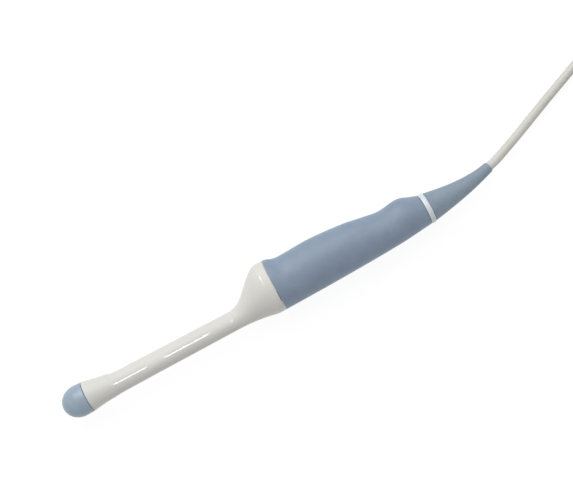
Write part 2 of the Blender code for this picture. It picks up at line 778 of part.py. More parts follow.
def make_handle_half(name, side, tongue, material, parent):
    start, places, end = handle_stations()
    rings = [half_section(start, side, tongue, HANDLE_EDGE)]
    rings += [half_section(x, side, tongue) for x in [start + HANDLE_EDGE] + places + [end - HANDLE_EDGE]]
    rings.append(half_section(end, side, tongue, HANDLE_EDGE))
    shell = add_object(name, loft(rings), material, parent)

    ribs = []
    for place in (HANDLE_START + RIB_FROM_COLLAR, HANDLE_END - RIB_FROM_END):
        sections = []
        for x in (place, place + RIB_THICKNESS):
            outer = side_arc(x, RIB_SPLIT_MARGIN, HANDLE_WALL / 2, side)
            inner = side_arc(x, RIB_SPLIT_MARGIN, HANDLE_WALL + RIB_HEIGHT, side)
            sections.append(outer + inner[::-1])
        ribs.append(loft(sections))
    rib_tool = add_object(name + "_ribs", join_meshes(ribs), None, parent, helper=True)
    combine(shell, rib_tool, "UNION")
    return shell


def board_screw_places():
    front = BOARD_START + BOARD_SCREW_INSET
    rear = BOARD_START + BOARD_LENGTH - BOARD_SCREW_INSET
    return [(front, BOARD_CENTRE), (rear, BOARD_CENTRE)]


def clamp_screw_places():
    x = CLAMP_START + CLAMP_LENGTH / 2
    return [(x, END_CENTRE + CLAMP_SCREW_SPACING / 2), (x, END_CENTRE - CLAMP_SCREW_SPACING / 2)]


def clamp_seat():
    """The platform in the right grip half that carries the cable clamp."""
    level = CLAMP_HALF_WIDTH + SEAT_GAP
    return loft([side_arc(x, level, HANDLE_WALL / 2, -1) for x in (CLAMP_START, CLAMP_START + CLAMP_LENGTH)])


def make_handle_fittings(right_shell, parent):
    """Bosses for the board and the clamp's seat, with their screw holes, on the right grip half."""
    top = -BOARD_THICKNESS / 2 - SEAT_GAP
    parts = []
    holes = []
    pilot = SMALL_SCREW_RADIUS + SEAT_GAP
    for x, y in board_screw_places():
        base = -(handle_section(x)[2] - HANDLE_WALL / 2)
        parts.append(cylinder(BOSS_RADIUS, base, top, (x, y)))
        holes.append(cylinder(pilot, top - BOARD_SCREW_LENGTH, top + MM, (x, y), segments=SCREW_SEGMENTS))
    parts.append(clamp_seat())
    seat = -(CLAMP_HALF_WIDTH + SEAT_GAP)
    reach = CLAMP_HALF_WIDTH + SEAT_GAP - CLAMP_SCREW_LENGTH - SEAT_GAP
    for x, y in clamp_screw_places():
        holes.append(cylinder(pilot, reach, seat + MM, (x, y), segments=SCREW_SEGMENTS))
    bosses = add_object("handle_bosses", join_meshes(parts), None, parent, helper=True)
    combine(right_shell, bosses, "UNION")
    pilots = add_object("handle_pilots", join_meshes(holes), None, parent, helper=True)
    combine(right_shell, pilots, "DIFFERENCE")


def screw_profile(radius, length, head_radius, head_height):
    """(along, radius) points of a pan-head screw whose head sits on z = 0 and whose shank points down."""
    chamfer = 0.25 * radius
    return [
        (head_height, 0.0),
        (head_height, 0.75 * head_radius),
        (0.4 * head_height, head_radius),
        (0.0, head_radius),
        (0.0, radius),
        (-length + chamfer, radius),
        (-length, radius - chamfer),
        (-length, 0.0),
    ]


def make_screw(name, size, place, material, parent, flipped=False):
    """A screw with its head on the plane of place. A flipped screw points up."""
    profile = [(-a, r) if flipped else (a, r) for a, r in screw_profile(*size)]
    screw = add_object(name, turned(profile, SCREW_SEGMENTS, axis="Z"), material, parent)
    screw.location = place
    return screw


# Inside the handle


def make_board(materials, parent):
    half = BOARD_THICKNESS / 2
    low_y, high_y = BOARD_CENTRE - BOARD_HEIGHT / 2, BOARD_CENTRE + BOARD_HEIGHT / 2
    bm = block((BOARD_START, low_y, -half), (BOARD_START + BOARD_LENGTH, high_y, half))
    board = add_object("termination_board", bm, materials["laminate"], parent)
    hole = SMALL_SCREW_RADIUS + SEAT_GAP
    places = board_screw_places()
    holes = [cylinder(hole, -2 * half, 2 * half, place, segments=SCREW_SEGMENTS) for place in places]
    combine(board, add_object("board_holes", join_meshes(holes), None, parent, helper=True), "DIFFERENCE")

    size = (SMALL_SCREW_RADIUS, BOARD_SCREW_LENGTH, SMALL_SCREW_HEAD_RADIUS, SMALL_SCREW_HEAD_HEIGHT)
    for name, (x, y) in zip(("board_screw_front", "board_screw_rear"), board_screw_places()):
        make_screw(name, size, (x, y, half + SEAT_GAP), materials["steel"], parent)

    length, width, height = FLEX_CONNECTOR_SIZE
    start = BOARD_START + FLEX_CONNECTOR_SETBACK
    for name, side in (("flex_connector_left", 1), ("flex_connector_right", -1)):
        near, far = side * (half + SEAT_GAP), side * (half + SEAT_GAP + height)
        bm = block((start, -width / 2, min(near, far)), (start + length, width / 2, max(near, far)))
        add_object(name, bm, materials["black"], parent)


def make_flexes(materials, parent):
    """Two strips from the sides of the array, through the shaft, to the board's connectors."""
    inner = flex_height()
    landing = BOARD_THICKNESS / 2 + SEAT_GAP + FLEX_CONNECTOR_SIZE[2] / 2 - FLEX_THICKNESS / 2
    array_end = ARRAY_SETBACK - 0.55 * ARRAY_RADIUS
    connector = BOARD_START + FLEX_CONNECTOR_SETBACK
    path = [
        (array_end, inner),
        (SHOULDER_START, inner),
        (lerp(SHOULDER_START, connector, 0.5), lerp(inner, landing, 0.5)),
        (BOARD_START - 2 * MM, landing),
        (connector - SEAT_GAP, landing),
    ]
    for name, side in (("flex_circuit_left", 1), ("flex_circuit_right", -1)):
        near = [(x, side * z) for x, z in path]
        far = [(x, side * (z + FLEX_THICKNESS)) for x, z in path]
        bm = extruded(near + far[::-1], FLEX_WIDTH, -FLEX_WIDTH / 2, plane="XZ")
        add_object(name, bm, materials["polyimide"], parent)


def make_cable_anchor(materials, parent):
    """The fanned cores, the crimp ring and the cable clamp."""
    inside = BUNDLE_RADIUS + SEAT_GAP
    outside = inside + CRIMP_WALL
    profile = [(CRIMP_START, inside), (CRIMP_START, outside), (CRIMP_END, outside), (CRIMP_END, inside)]
    ring = turned(profile, 18, offset=(0, END_CENTRE, 0), closed=True)
    add_object("crimp_ring", ring, materials["brass"], parent)

    fan, rings = 6, []
    for i in range(fan):
        share = i / (fan - 1)
        x = lerp(BUNDLE_START, CRIMP_END - SEAT_GAP, share)
        blend = ease(min(share / 0.75, 1.0))
        height = lerp(BUNDLE_FAN_HEIGHT / 2, BUNDLE_RADIUS, blend)
        width = lerp(BUNDLE_FAN_THICKNESS / 2, BUNDLE_RADIUS, blend)
        section = (END_CENTRE - height, END_CENTRE + height, width, 2.0)
        rings.append([oval_point(x, section, math.tau * k / 16) for k in range(16)])
    add_object("coax_bundle", loft(rings), materials["cores"], parent)

    x0, x1 = CLAMP_START, CLAMP_START + CLAMP_LENGTH
    groove = [(x0 - MM, BORE_RADIUS), (x1 + MM, BORE_RADIUS)]
    cut = cylinder(BORE_RADIUS, groove[0][0], groove[1][0], (END_CENTRE, 0.0), axis="X", segments=24)
    cutters = [cut]
    hole = SMALL_SCREW_RADIUS + SEAT_GAP
    for place in clamp_screw_places():
        reach = 2 * CLAMP_HALF_WIDTH
        cutters.append(cylinder(hole, -reach, reach, place, segments=SCREW_SEGMENTS))
    cutter = add_object("clamp_cuts", join_meshes(cutters), None, parent, helper=True)
    for name, side in (("cable_clamp_left", 1), ("cable_clamp_right", -1)):
        near, far = side * SEAM_GAP / 2, side * CLAMP_HALF_WIDTH
        low = (x0, END_CENTRE - CLAMP_HEIGHT / 2, min(near, far))
        high = (x1, END_CENTRE + CLAMP_HEIGHT / 2, max(near, far))
        clamp = add_object(name, block(low, high), materials["nylon"], parent)
        combine(clamp, cutter, "DIFFERENCE")

    size = (SMALL_SCREW_RADIUS, CLAMP_SCREW_LENGTH, SMALL_SCREW_HEAD_RADIUS, SMALL_SCREW_HEAD_HEIGHT)
    for name, (x, y) in zip(("clamp_screw_upper", "clamp_screw_lower"), clamp_screw_places()):
        make_screw(name, size, (x, y, CLAMP_HALF_WIDTH + SEAT_GAP), materials["steel"], parent)


# The handle's end


def make_end_ring(material, parent):
    start, end = HANDLE_END + SEAM_GAP / 2, HANDLE_END + RING_LENGTH - SEAM_GAP / 2
    spigot = END_RADIUS - HANDLE_WALL - SEAT_GAP
    bore = END_RADIUS - RING_WALL
    inner_end = HANDLE_END - RING_SPIGOT_LENGTH
    profile = [
        (start, spigot),
        (start, END_RADIUS - HANDLE_EDGE),
        (lerp(start, end, 0.25), END_RADIUS + RING_CROWN),
        (lerp(start, end, 0.75), END_RADIUS + RING_CROWN),
        (end, END_RADIUS - HANDLE_EDGE),
        (end, bore),
        (inner_end, bore),
        (inner_end, spigot),
    ]
    bm = turned(profile, HEAD_SEGMENTS, offset=(0, END_CENTRE, 0), closed=True)
    return add_object("end_ring", bm, material, parent)


def make_strain_relief(material, parent):
    """A flange held behind the end ring, a neck through it, and the tapered, curved boot."""
    flange_start = BOOT_FLANGE_END - BOOT_FLANGE_LENGTH
    face = BOOT_START + SEAM_GAP / 2
    centres, radii = [], []

    def add(x, radius):
        centres.append(Vector((x, END_CENTRE, 0)))
        radii.append(radius)

    lip = BOOT_NECK_RADIUS + BOOT_FLANGE_LIP
    add(flange_start, lip)
    add(BOOT_FLANGE_END, lip)
    add(BOOT_FLANGE_END, BOOT_NECK_RADIUS)
    add(face, BOOT_NECK_RADIUS)
    add(face, BOOT_START_RADIUS - HANDLE_EDGE)
    add(face + HANDLE_EDGE, BOOT_START_RADIUS)
    straight = tube_rings_square(centres, radii)

    taper = [0.08, 0.2, 0.33, 0.47, 0.6, 0.73, 0.86, 0.985, 1.0]
    outer_path = [boot_path(share) for share in taper]
    outer_radii = [
        lerp(BOOT_END_RADIUS, BOOT_START_RADIUS, (1 - share) ** BOOT_TAPER_POWER) for share in taper
    ]
    outer_radii[-1] = BORE_RADIUS + 0.25 * (BOOT_END_RADIUS - BORE_RADIUS)
    bore = [1.0, 0.86, 0.73, 0.6, 0.4, 0.0]
    bore_path = [boot_path(share) for share in bore] + [Vector((flange_start, END_CENTRE, 0))]
    bore_rings = tube_rings(bore_path, [BORE_RADIUS] * len(bore_path), BOOT_SEGMENTS)
    rings = straight + tube_rings(outer_path, outer_radii, BOOT_SEGMENTS)
    rings += [turn_ring(ring) for ring in bore_rings]
    return add_object("strain_relief", loft(rings, closed=True), material, parent)


def tube_rings_square(centres, radii):
    """Rings square to x, which start in step with those of tube_rings."""
    return [
        [
            centre + radius * Vector((0, math.sin(angle), math.cos(angle)))
            for angle in (math.tau * k / BOOT_SEGMENTS for k in range(BOOT_SEGMENTS))
        ]
        for centre, radius in zip(centres, radii)
    ]


def turn_ring(ring):
    """A ring of a path walked backwards, put in step with a ring of the same path walked forwards."""
    return [ring[-k % len(ring)] for k in range(len(ring))]


def make_handle_cable(material, parent):
    """The jacketed cable from the clamp through the boot, to the boot's end."""
    path = [Vector((lerp(INNER_CABLE_START, BOOT_START, share), END_CENTRE, 0)) for share in (0.0, 0.5)]
    path += [boot_path(share) for share in (0.0, 0.2, 0.4, 0.6, 0.73, 0.86, 1.0)]
    rings = tube_rings(path, [CABLE_RADIUS] * len(path), CABLE_SEGMENTS)
    return add_object("cable_handle_end", loft(rings), material, parent)


# The rest pose


def lay_on_floor(probe, pieces):
    """Turns and moves the probe's frame so that it lies still on the two points below its centre of balance.

    The pieces are thin shells, so their area stands for their weight. The origin is below the middle.
    """
    points = []
    for piece in pieces:
        points += [piece.matrix_basis @ vertex.co for vertex in piece.data.vertices]
    profile = sorted((p.x, p.z) for p in points)
    hull = []
    for point in profile:
        while len(hull) > 1 and turn(hull[-2], hull[-1], point) <= 0:
            hull.pop()
        hull.append(point)
    faces = [face for piece in pieces for face in piece.data.polygons]
    area = sum(face.area for face in faces)
    balance = sum(face.area * face.center.x for face in faces) / area
    left, right = next(pair for pair in zip(hull, hull[1:]) if pair[0][0] <= balance < pair[1][0])
    lean = math.atan2(right[1] - left[1], right[0] - left[0])
    probe.rotation_euler = (0, lean, 0)
    rotation = Matrix.Rotation(lean, 4, "Y")
    placed = [rotation @ p for p in points]
    low = Vector([min(p[i] for p in placed) for i in range(3)])
    high = Vector([max(p[i] for p in placed) for i in range(3)])
    probe.location = (-(low.x + high.x) / 2, -(low.y + high.y) / 2, -low.z)


def turn(a, b, c):
    return (b[0] - a[0]) * (c[1] - a[1]) - (b[1] - a[1]) * (c[0] - a[0])


# Cable


def smooth_route(points, spacing):
    """Points a spacing apart on a smooth curve through the route's own points."""
    ends = [points[0] * 2 - points[1]] + points + [points[-1] * 2 - points[-2]]
    fine = []
    for p0, p1, p2, p3 in zip(ends, ends[1:], ends[2:], ends[3:]):
        for i in range(24):
            t = i / 24
            fine.append(
                0.5 * (2 * p1 + (p2 - p0) * t + (2 * p0 - 5 * p1 + 4 * p2 - p3) * t**2
                       + (3 * p1 - p0 - 3 * p2 + p3) * t**3)
            )
    fine.append(points[-1])
    length = sum((b - a).length for a, b in zip(fine, fine[1:]))
    count = max(int(round(length / spacing)), 2)
    route, walked, target = [fine[0]], 0.0, 1
    for a, b in zip(fine, fine[1:]):
        step = (b - a).length
        while target < count and walked + step >= target * length / count:
            route.append(a.lerp(b, (target * length / count - walked) / step))
            target += 1
        walked += step
    return route + [fine[-1]]


def make_cable(name, points, material):
    """A length of cable through points, straight as far as the second, where it leaves a boot."""
    curve = bpy.data.curves.new(name, "CURVE")
    curve.dimensions = "3D"
    spline = curve.splines.new("POLY")
    route = points[:1] + smooth_route(points[1:], 2.2 * CABLE_DIAMETER)
    spline.points.add(len(route) - 1)
    for slot, point in zip(spline.points, route):
        slot.co = (*point, 1.0)
    curve.bevel_depth = CABLE_RADIUS
    curve.bevel_resolution = 3
    curve.use_fill_caps = True
    curve.materials.append(material)
    cable = bpy.data.objects.new(name, curve)
    bpy.context.scene.collection.objects.link(cable)
    return cable


def make_hank(materials, centre):
    """The stored turns as one ring with two straight sides, and the strap round the nearer side."""
    inner = HANK_INNER_LANE - HANK_PITCH / 2
    middle, outer = inner + HANK_PITCH, inner + 2 * HANK_PITCH
    low = HANK_LIFT
    two, three = low + 2 * HANK_PITCH, low + 3 * HANK_PITCH
    fold_steps = 12
    quarter = math.pi / 2
    stations = [(0.0, quarter, three), (HANK_RUN, quarter, three), (HANK_RUN, quarter * 0.98, two)]
    stations += [(HANK_RUN, quarter - math.pi * i / fold_steps, two) for i in range(1, fold_steps + 1)]
    stations += [(HANK_RUN * (1 - share), -quarter, top) for share, top in zip(HANK_CLIMB, (two, three))]
    stations += [(0.0, -quarter - math.pi * i / fold_steps, three) for i in range(fold_steps)]
    edge = 0.3 * CABLE_DIAMETER
    rings = []
    for x, angle, top in stations:
        fold, across = Vector((x, 0, 0)), Vector((math.cos(angle), math.sin(angle), 0))
        section = [
            (low, inner + edge),
            (low, outer - edge),
            (low + edge, outer),
            (top - edge, outer),
            (top, outer - edge),
            (top, middle),
            (two, middle),
            (two, inner + edge),
            (two - edge, inner),
            (low + edge, inner),
        ]
        if top == two:
            section[5] = (top, (middle + outer) / 2)
        rings.append([fold + across * reach + Vector((0, 0, level)) for level, reach in section])
    hank = add_object("cable_hank", loft(rings, closed=True), materials["cable"], None)
    hank.location = (centre.x, centre.y, 0)

    loops = []
    for x in (-TIE_WIDTH / 2, TIE_WIDTH / 2):
        for grown in (SEAT_GAP, SEAT_GAP + TIE_THICKNESS):
            near, far = -(inner - grown), -(outer + grown)
            ring = [(near, low - grown), (far, low - grown), (far, two + grown), (near, two + grown)]
            loops.append([Vector((x, y, z)) for y, z in chamfered(ring, 1.6 * MM)])
    order = [loops[0], loops[1], loops[3], loops[2]]
    tie = add_object("hank_tie", loft(order, closed=True), materials["strap"], None)
    tie.location = (centre.x + HANK_RUN * (1 - TIE_SHARE), centre.y, 0)


def chamfered(corners, cut):
    """An outline with each corner cut off at the same distance."""
    outline = []
    for i, corner in enumerate(corners):
        here = Vector(corner)
        before = Vector(corners[i - 1])
        after = Vector(corners[(i + 1) % len(corners)])
        outline.append(here + (before - here).normalized() * cut)
        outline.append(here + (after - here).normalized() * cut)
    return outline


# Connector


def shell_rings(z_start, z_end, opening, wall_end):
    """Rings of a tub from its rim at z_start to its filleted face at z_end, with an opening in that face."""
    direction = 1 if z_end > z_start else -1
    rings = []

    def outside(z, shrink):
        size = (CONNECTOR_LENGTH - 2 * shrink, CONNECTOR_WIDTH - 2 * shrink)
        rings.append(rounded_rectangle(*size, CONNECTOR_CORNER - shrink, z))

    outside(z_start, 0.0)
    for i in range(4):
        angle = math.pi / 2 * i / 3
        shrink = CONNECTOR_FILLET * (1 - math.cos(angle))
        outside(z_end - direction * CONNECTOR_FILLET * (1 - math.sin(angle)), shrink)
    rings.append(opening(z_end))
    rings.append(opening(wall_end))
    inside = (CONNECTOR_LENGTH - 2 * CONNECTOR_WALL, CONNECTOR_WIDTH - 2 * CONNECTOR_WALL)
    for z in (wall_end, z_start):
        rings.append(rounded_rectangle(*inside, CONNECTOR_CORNER - CONNECTOR_WALL, z))
    return rings


def cover_screw_places():
    x = CONNECTOR_LENGTH / 2 - COVER_BOSS_INSET
    y = CONNECTOR_WIDTH / 2 - COVER_BOSS_INSET
    return [(x, y), (x, -y), (-x, -y), (-x, y)]


def make_connector_shells(materials, parent):
    """The base with the plug's opening and the cover with the lock's, and the bosses that join them."""
    split = CABLE_AXIS_HEIGHT
    floor = PLUG_DEPTH + CONNECTOR_WALL
    top = split + COVER_HEIGHT
    roof = top - CONNECTOR_WALL
    head_seat = PLUG_DEPTH + COVER_SCREW_HEAD_HEIGHT + SEAT_GAP

    def plug_opening(z):
        size = (PLUG_LENGTH + 2 * SEAT_GAP, PLUG_WIDTH + 2 * SEAT_GAP)
        return rounded_rectangle(*size, PLUG_CORNER + SEAT_GAP, z)

    def shaft_opening(z):
        return round_hole(LOCK_SHAFT_RADIUS + SEAT_GAP, z)

    base_rings = shell_rings(split - SEAM_GAP / 2, PLUG_DEPTH, plug_opening, floor)
    base = add_object("connector_base", loft(base_rings, closed=True), materials["housing"], parent)
    cover_rings = shell_rings(split + SEAM_GAP / 2, top, shaft_opening, roof)
    cover = add_object("connector_cover", loft(cover_rings, closed=True), materials["housing"], parent)

    overlap = 0.5 * CONNECTOR_WALL
    base_bosses, base_cuts, cover_bosses, cover_cuts = [], [], [], []
    screw_hole = COVER_SCREW_RADIUS + SEAT_GAP
    for place in cover_screw_places():
        below, above = (floor - overlap, split - SEAM_GAP / 2), (split + SEAM_GAP / 2, roof + overlap)
        base_bosses.append(cylinder(COVER_BOSS_RADIUS, *below, place, segments=SCREW_SEGMENTS))
        cover_bosses.append(cylinder(COVER_BOSS_RADIUS, *above, place, segments=SCREW_SEGMENTS))
        head = COVER_SCREW_HEAD_RADIUS + SEAT_GAP
        base_cuts.append(
            turned(
                [
                    (PLUG_DEPTH - MM, 0),
                    (PLUG_DEPTH - MM, head),
                    (head_seat, head),
                    (head_seat, screw_hole),
                    (split + MM, screw_hole),
                    (split + MM, 0),
                ],
                SCREW_SEGMENTS,
                axis="Z",
                offset=(*place, 0),
            )
        )
        reach = head_seat + COVER_SCREW_LENGTH + SEAT_GAP
        cover_cuts.append(cylinder(screw_hole, split - MM, reach, place, segments=SCREW_SEGMENTS))
    neck = cylinder(
        CONNECTOR_BOOT_NECK_RADIUS + SEAT_GAP,
        -CONNECTOR_LENGTH / 2 - MM,
        -CONNECTOR_LENGTH / 2 + CONNECTOR_WALL + MM,
        (0.0, split),
        axis="X",
        segments=24,
    )
    neck_tool = add_object("boot_opening", neck, None, parent, helper=True)
    for shell, bosses, cuts in ((base, base_bosses, base_cuts), (cover, cover_bosses, cover_cuts)):
        boss_tool = add_object(shell.name + "_bosses", join_meshes(bosses), None, parent, helper=True)
        combine(shell, boss_tool, "UNION")
        cut_tool = add_object(shell.name + "_cuts", join_meshes(cuts), None, parent, helper=True)
        combine(shell, cut_tool, "DIFFERENCE")
        combine(shell, neck_tool, "DIFFERENCE")

    size = (COVER_SCREW_RADIUS, COVER_SCREW_LENGTH, COVER_SCREW_HEAD_RADIUS, COVER_SCREW_HEAD_HEIGHT)
    for number, (x, y) in enumerate(cover_screw_places(), start=1):
        place = (x, y, head_seat - SEAT_GAP)
        make_screw(f"cover_screw_{number}", size, place, materials["steel"], parent, flipped=True)


def insert_top():
    return PLUG_DEPTH + INSERT_TOP


def make_plug(materials, parent):
    """The plug's metal frame, hung from the base by its flange, and the insulator in it."""
    flange_low = PLUG_DEPTH + CONNECTOR_WALL + SEAT_GAP
    flange_high = flange_low + PLUG_FLANGE_THICKNESS
    grown = 2 * PLUG_FLANGE
    outline = (PLUG_LENGTH, PLUG_WIDTH)
    inside = (PLUG_LENGTH - 2 * PLUG_WALL, PLUG_WIDTH - 2 * PLUG_WALL)
    flange = (PLUG_LENGTH + grown, PLUG_WIDTH + grown)
    rings = [
        rounded_rectangle(*outline, PLUG_CORNER, 0.0),
        rounded_rectangle(*outline, PLUG_CORNER, flange_low),
        rounded_rectangle(*flange, PLUG_CORNER + PLUG_FLANGE, flange_low),
        rounded_rectangle(*flange, PLUG_CORNER + PLUG_FLANGE, flange_high),
        rounded_rectangle(*inside, PLUG_CORNER - PLUG_WALL, flange_high),
        rounded_rectangle(*inside, PLUG_CORNER - PLUG_WALL, 0.0),
    ]
    add_object("plug_shell", loft(rings, closed=True), materials["nickel"], parent)

    fit = 2 * (PLUG_WALL + SEAT_GAP)
    size = (PLUG_LENGTH - fit, PLUG_WIDTH - fit)
    corner = PLUG_CORNER - PLUG_WALL - SEAT_GAP
    hole = LOCK_SHAFT_RADIUS + SEAT_GAP
    rings = [
        rounded_rectangle(*size, corner, INSERT_RECESS),
        rounded_rectangle(*size, corner, insert_top()),
        round_hole(hole, insert_top()),
        round_hole(hole, INSERT_RECESS),
    ]
    add_object("contact_insert", loft(rings, closed=True), materials["insulator"], parent)


def board_levels():
    low = PLUG_DEPTH + CONNECTOR_WALL + 2 * SEAT_GAP + PLUG_FLANGE_THICKNESS
    return low, low + CONNECTOR_BOARD_SIZE[2]


def make_connector_inside(materials, parent):
    low, high = board_levels()
    length, width, _ = CONNECTOR_BOARD_SIZE
    hole = LOCK_SHAFT_RADIUS + SEAT_GAP
    rings = [
        rounded_rectangle(length, width, 2 * MM, low),
        rounded_rectangle(length, width, 2 * MM, high),
        round_hole(hole, high),
        round_hole(hole, low),
    ]
    add_object("connector_board", loft(rings, closed=True), materials["laminate"], parent)

    clamp_length, clamp_width, clamp_height = CONNECTOR_CLAMP_SIZE
    start = connector_clamp_start()
    floor = PLUG_DEPTH + CONNECTOR_WALL + SEAT_GAP
    low = (start, -clamp_width / 2, floor)
    bm = block(low, (start + clamp_length, clamp_width / 2, floor + clamp_height))
    clamp = add_object("connector_clamp", bm, materials["nylon"], parent)
    bore = cylinder(
        BORE_RADIUS, start - MM, start + clamp_length + MM, (0.0, CABLE_AXIS_HEIGHT), axis="X", segments=24
    )
    combine(clamp, add_object("connector_clamp_bore", bore, None, parent, helper=True), "DIFFERENCE")

    cable_end = start + clamp_length + 1.0 * MM
    path = [Vector((cable_end, 0, CABLE_AXIS_HEIGHT)), Vector((-CONNECTOR_LENGTH / 2, 0, CABLE_AXIS_HEIGHT))]
    path += [connector_boot_path(share) for share in (0.0, 0.35, 0.7, 1.0)]
    rings = tube_rings(path, [CABLE_RADIUS] * len(path), CABLE_SEGMENTS)
    add_object("cable_connector_end", loft(rings), materials["cable"], parent)

    harness_start = cable_end + SEAT_GAP
    harness_end = -LOCK_COLLAR_RADIUS - 2 * MM
    rise = CABLE_AXIS_HEIGHT
    flat = BUNDLE_FAN_THICKNESS
    fan, rings = 6, []
    for i in range(fan):
        share = i / (fan - 1)
        blend = ease(share)
        x = lerp(harness_start, harness_end, share)
        z = lerp(rise, high + SEAT_GAP + flat / 2, blend)
        width = lerp(BUNDLE_RADIUS, BUNDLE_FAN_HEIGHT / 2, blend)
        height = lerp(BUNDLE_RADIUS, flat / 2, blend)
        rings.append(
            [
                Vector((x, width * math.cos(angle), z + height * math.sin(angle)))
                for angle in (math.tau * k / 16 for k in range(16))
            ]
        )
    add_object("connector_harness", loft(rings), materials["cores"], parent)


def connector_clamp_start():
    return -CONNECTOR_LENGTH / 2 + CONNECTOR_WALL + 2 * SEAT_GAP + BOOT_FLANGE_LENGTH


def connector_boot_path(share):
    bend = max(share, 0.0) ** 2
    x = -CONNECTOR_LENGTH / 2 - share * CONNECTOR_BOOT_LENGTH
    return Vector((x, 0, CABLE_AXIS_HEIGHT - CONNECTOR_BOOT_DROOP * bend))


def make_connector_boot(material, parent):
    """A flange inside the wall, a neck in the split, and the tapered boot, drooping towards the floor."""
    inner = -CONNECTOR_LENGTH / 2 + CONNECTOR_WALL + SEAT_GAP
    outer = -CONNECTOR_LENGTH / 2 - SEAT_GAP
    lip = CONNECTOR_BOOT_NECK_RADIUS + BOOT_FLANGE_LIP
    steps = [
        (inner + BOOT_FLANGE_LENGTH, lip),
        (inner, lip),
        (inner, CONNECTOR_BOOT_NECK_RADIUS),
        (outer, CONNECTOR_BOOT_NECK_RADIUS),
        (outer, CONNECTOR_BOOT_START_RADIUS),
    ]
    angles = [math.tau * k / CONNECTOR_BOOT_SEGMENTS for k in range(CONNECTOR_BOOT_SEGMENTS)]
    rings = [
        [Vector((x, -radius * math.sin(a), CABLE_AXIS_HEIGHT + radius * math.cos(a))) for a in angles]
        for x, radius in steps
    ]
    shares = [0.2, 0.45, 0.7, 0.9, 1.0]
    path = [connector_boot_path(share) for share in shares]
    radii = [lerp(BOOT_END_RADIUS, CONNECTOR_BOOT_START_RADIUS, (1 - share) ** 1.2) for share in shares]
    rings += tube_rings(path, radii, CONNECTOR_BOOT_SEGMENTS)
    back = [connector_boot_path(share) for share in (1.0, 0.7, 0.4, 0.0)]
    back.append(Vector((inner + BOOT_FLANGE_LENGTH, 0, CABLE_AXIS_HEIGHT)))
    bore_rings = tube_rings(back, [BORE_RADIUS] * len(back), CONNECTOR_BOOT_SEGMENTS)
    rings += [turn_ring(ring) for ring in bore_rings]
    return add_object("connector_boot", loft(rings, closed=True), material, parent)


def make_lock(materials, parent):
    """The rotary lock: a knob over the cover, and a shaft with a key that lies in the plug's recess."""
    top = CABLE_AXIS_HEIGHT + COVER_HEIGHT
    low, high = board_levels()
    key_length, key_width, key_height = LOCK_KEY_SIZE
    key_low = (INSERT_RECESS - key_height) / 2
    collar = high + SEAT_GAP
    shaft_end = top + SEAT_GAP + KNOB_SOCKET_DEPTH - SEAT_GAP
    profile = [
        (key_low, 0.0),
        (key_low, LOCK_SHAFT_RADIUS - 0.5 * MM),
        (key_low + 0.5 * MM, LOCK_SHAFT_RADIUS),
        (collar, LOCK_SHAFT_RADIUS),
        (collar, LOCK_COLLAR_RADIUS),
        (collar + LOCK_COLLAR_HEIGHT, LOCK_COLLAR_RADIUS),
        (collar + LOCK_COLLAR_HEIGHT, LOCK_SHAFT_RADIUS),
        (shaft_end, LOCK_SHAFT_RADIUS),
        (shaft_end, 0.0),
    ]
    shaft = add_object("lock_shaft", turned(profile, 20, axis="Z"), materials["steel"], parent)
    key_corner = (-key_length / 2, -key_width / 2, key_low)
    key = block(key_corner, (key_length / 2, key_width / 2, key_low + key_height))
    combine(shaft, add_object("lock_key", key, None, parent, helper=True), "UNION")

    knob_low = top + SEAT_GAP
    knob_high = knob_low + KNOB_BASE_HEIGHT
    profile = [
        (knob_low, 0.0),
        (knob_low, KNOB_RADIUS - 0.8 * MM),
        (knob_low + 0.8 * MM, KNOB_RADIUS),
        (knob_high - 1.5 * MM, KNOB_RADIUS),
        (knob_high, KNOB_RADIUS - 1.5 * MM),
        (knob_high, 0.0),
    ]
    knob = add_object("lock_knob", turned(profile, 24, axis="Z"), materials["grip"], parent)
    length, width, height = KNOB_BAR_SIZE
    bar_levels = [(0.8 * MM, 0.0), (height - 3 * MM, 0.0), (height - 0.9 * MM, 0.9 * MM), (height, 3 * MM)]
    bar = []
    for level, shrink in bar_levels:
        corner = width / 2 - shrink - MM / 10
        bar.append(rounded_rectangle(length - 2 * shrink, width - 2 * shrink, corner, knob_low + level))
    combine(knob, add_object("knob_bar", loft(bar), None, parent, helper=True), "UNION")
    socket = cylinder(
        LOCK_SHAFT_RADIUS + SEAT_GAP, knob_low - MM, knob_low + KNOB_SOCKET_DEPTH, (0.0, 0.0), segments=24
    )
    combine(knob, add_object("knob_socket", socket, None, parent, helper=True), "DIFFERENCE")


def all_materials():
    return {
        "lens": finish("lens_silicone", (160, 176, 192), 0.45),
        "housing": finish("housing_white", (216, 217, 211), 0.3),
        "handle": finish("handle_blue_grey", (148, 162, 178), 0.5),
        "ring": finish("ring_white", (215, 221, 228), 0.35),
        "boot": finish("boot_blue_grey", (145, 159, 174), 0.55),
        "cable": finish("cable_jacket", (206, 204, 198), 0.5),
        "seal": finish("seal_rubber", (90, 92, 96), 0.7),
        "epoxy": finish("matching_epoxy", (120, 96, 70), 0.6),
        "ceramic": finish("piezo_ceramic", (190, 182, 160), 0.5),
        "absorber": finish("backing_absorber", (60, 62, 68), 0.8),
        "nylon": finish("nylon_black", (48, 50, 54), 0.6),
        "black": finish("connector_black", (38, 39, 42), 0.5),
        "laminate": finish("board_laminate", (44, 98, 62), 0.4),
        "polyimide": finish("flex_polyimide", (186, 124, 44), 0.35),
        "steel": finish("screw_steel", (176, 178, 182), 0.35, 1.0),
        "brass": finish("crimp_brass", (196, 168, 104), 0.35, 1.0),
        "cores": finish("coax_cores", (170, 172, 176), 0.6),
        "strap": finish("strap_fabric", (70, 74, 82), 0.9),
        "nickel": finish("plug_nickel", (186, 186, 182), 0.3, 1.0),
        "insulator": finish("insulator_dark", (52, 54, 60), 0.5),
        "grip": finish("lock_grip", (120, 134, 150), 0.5),
    }


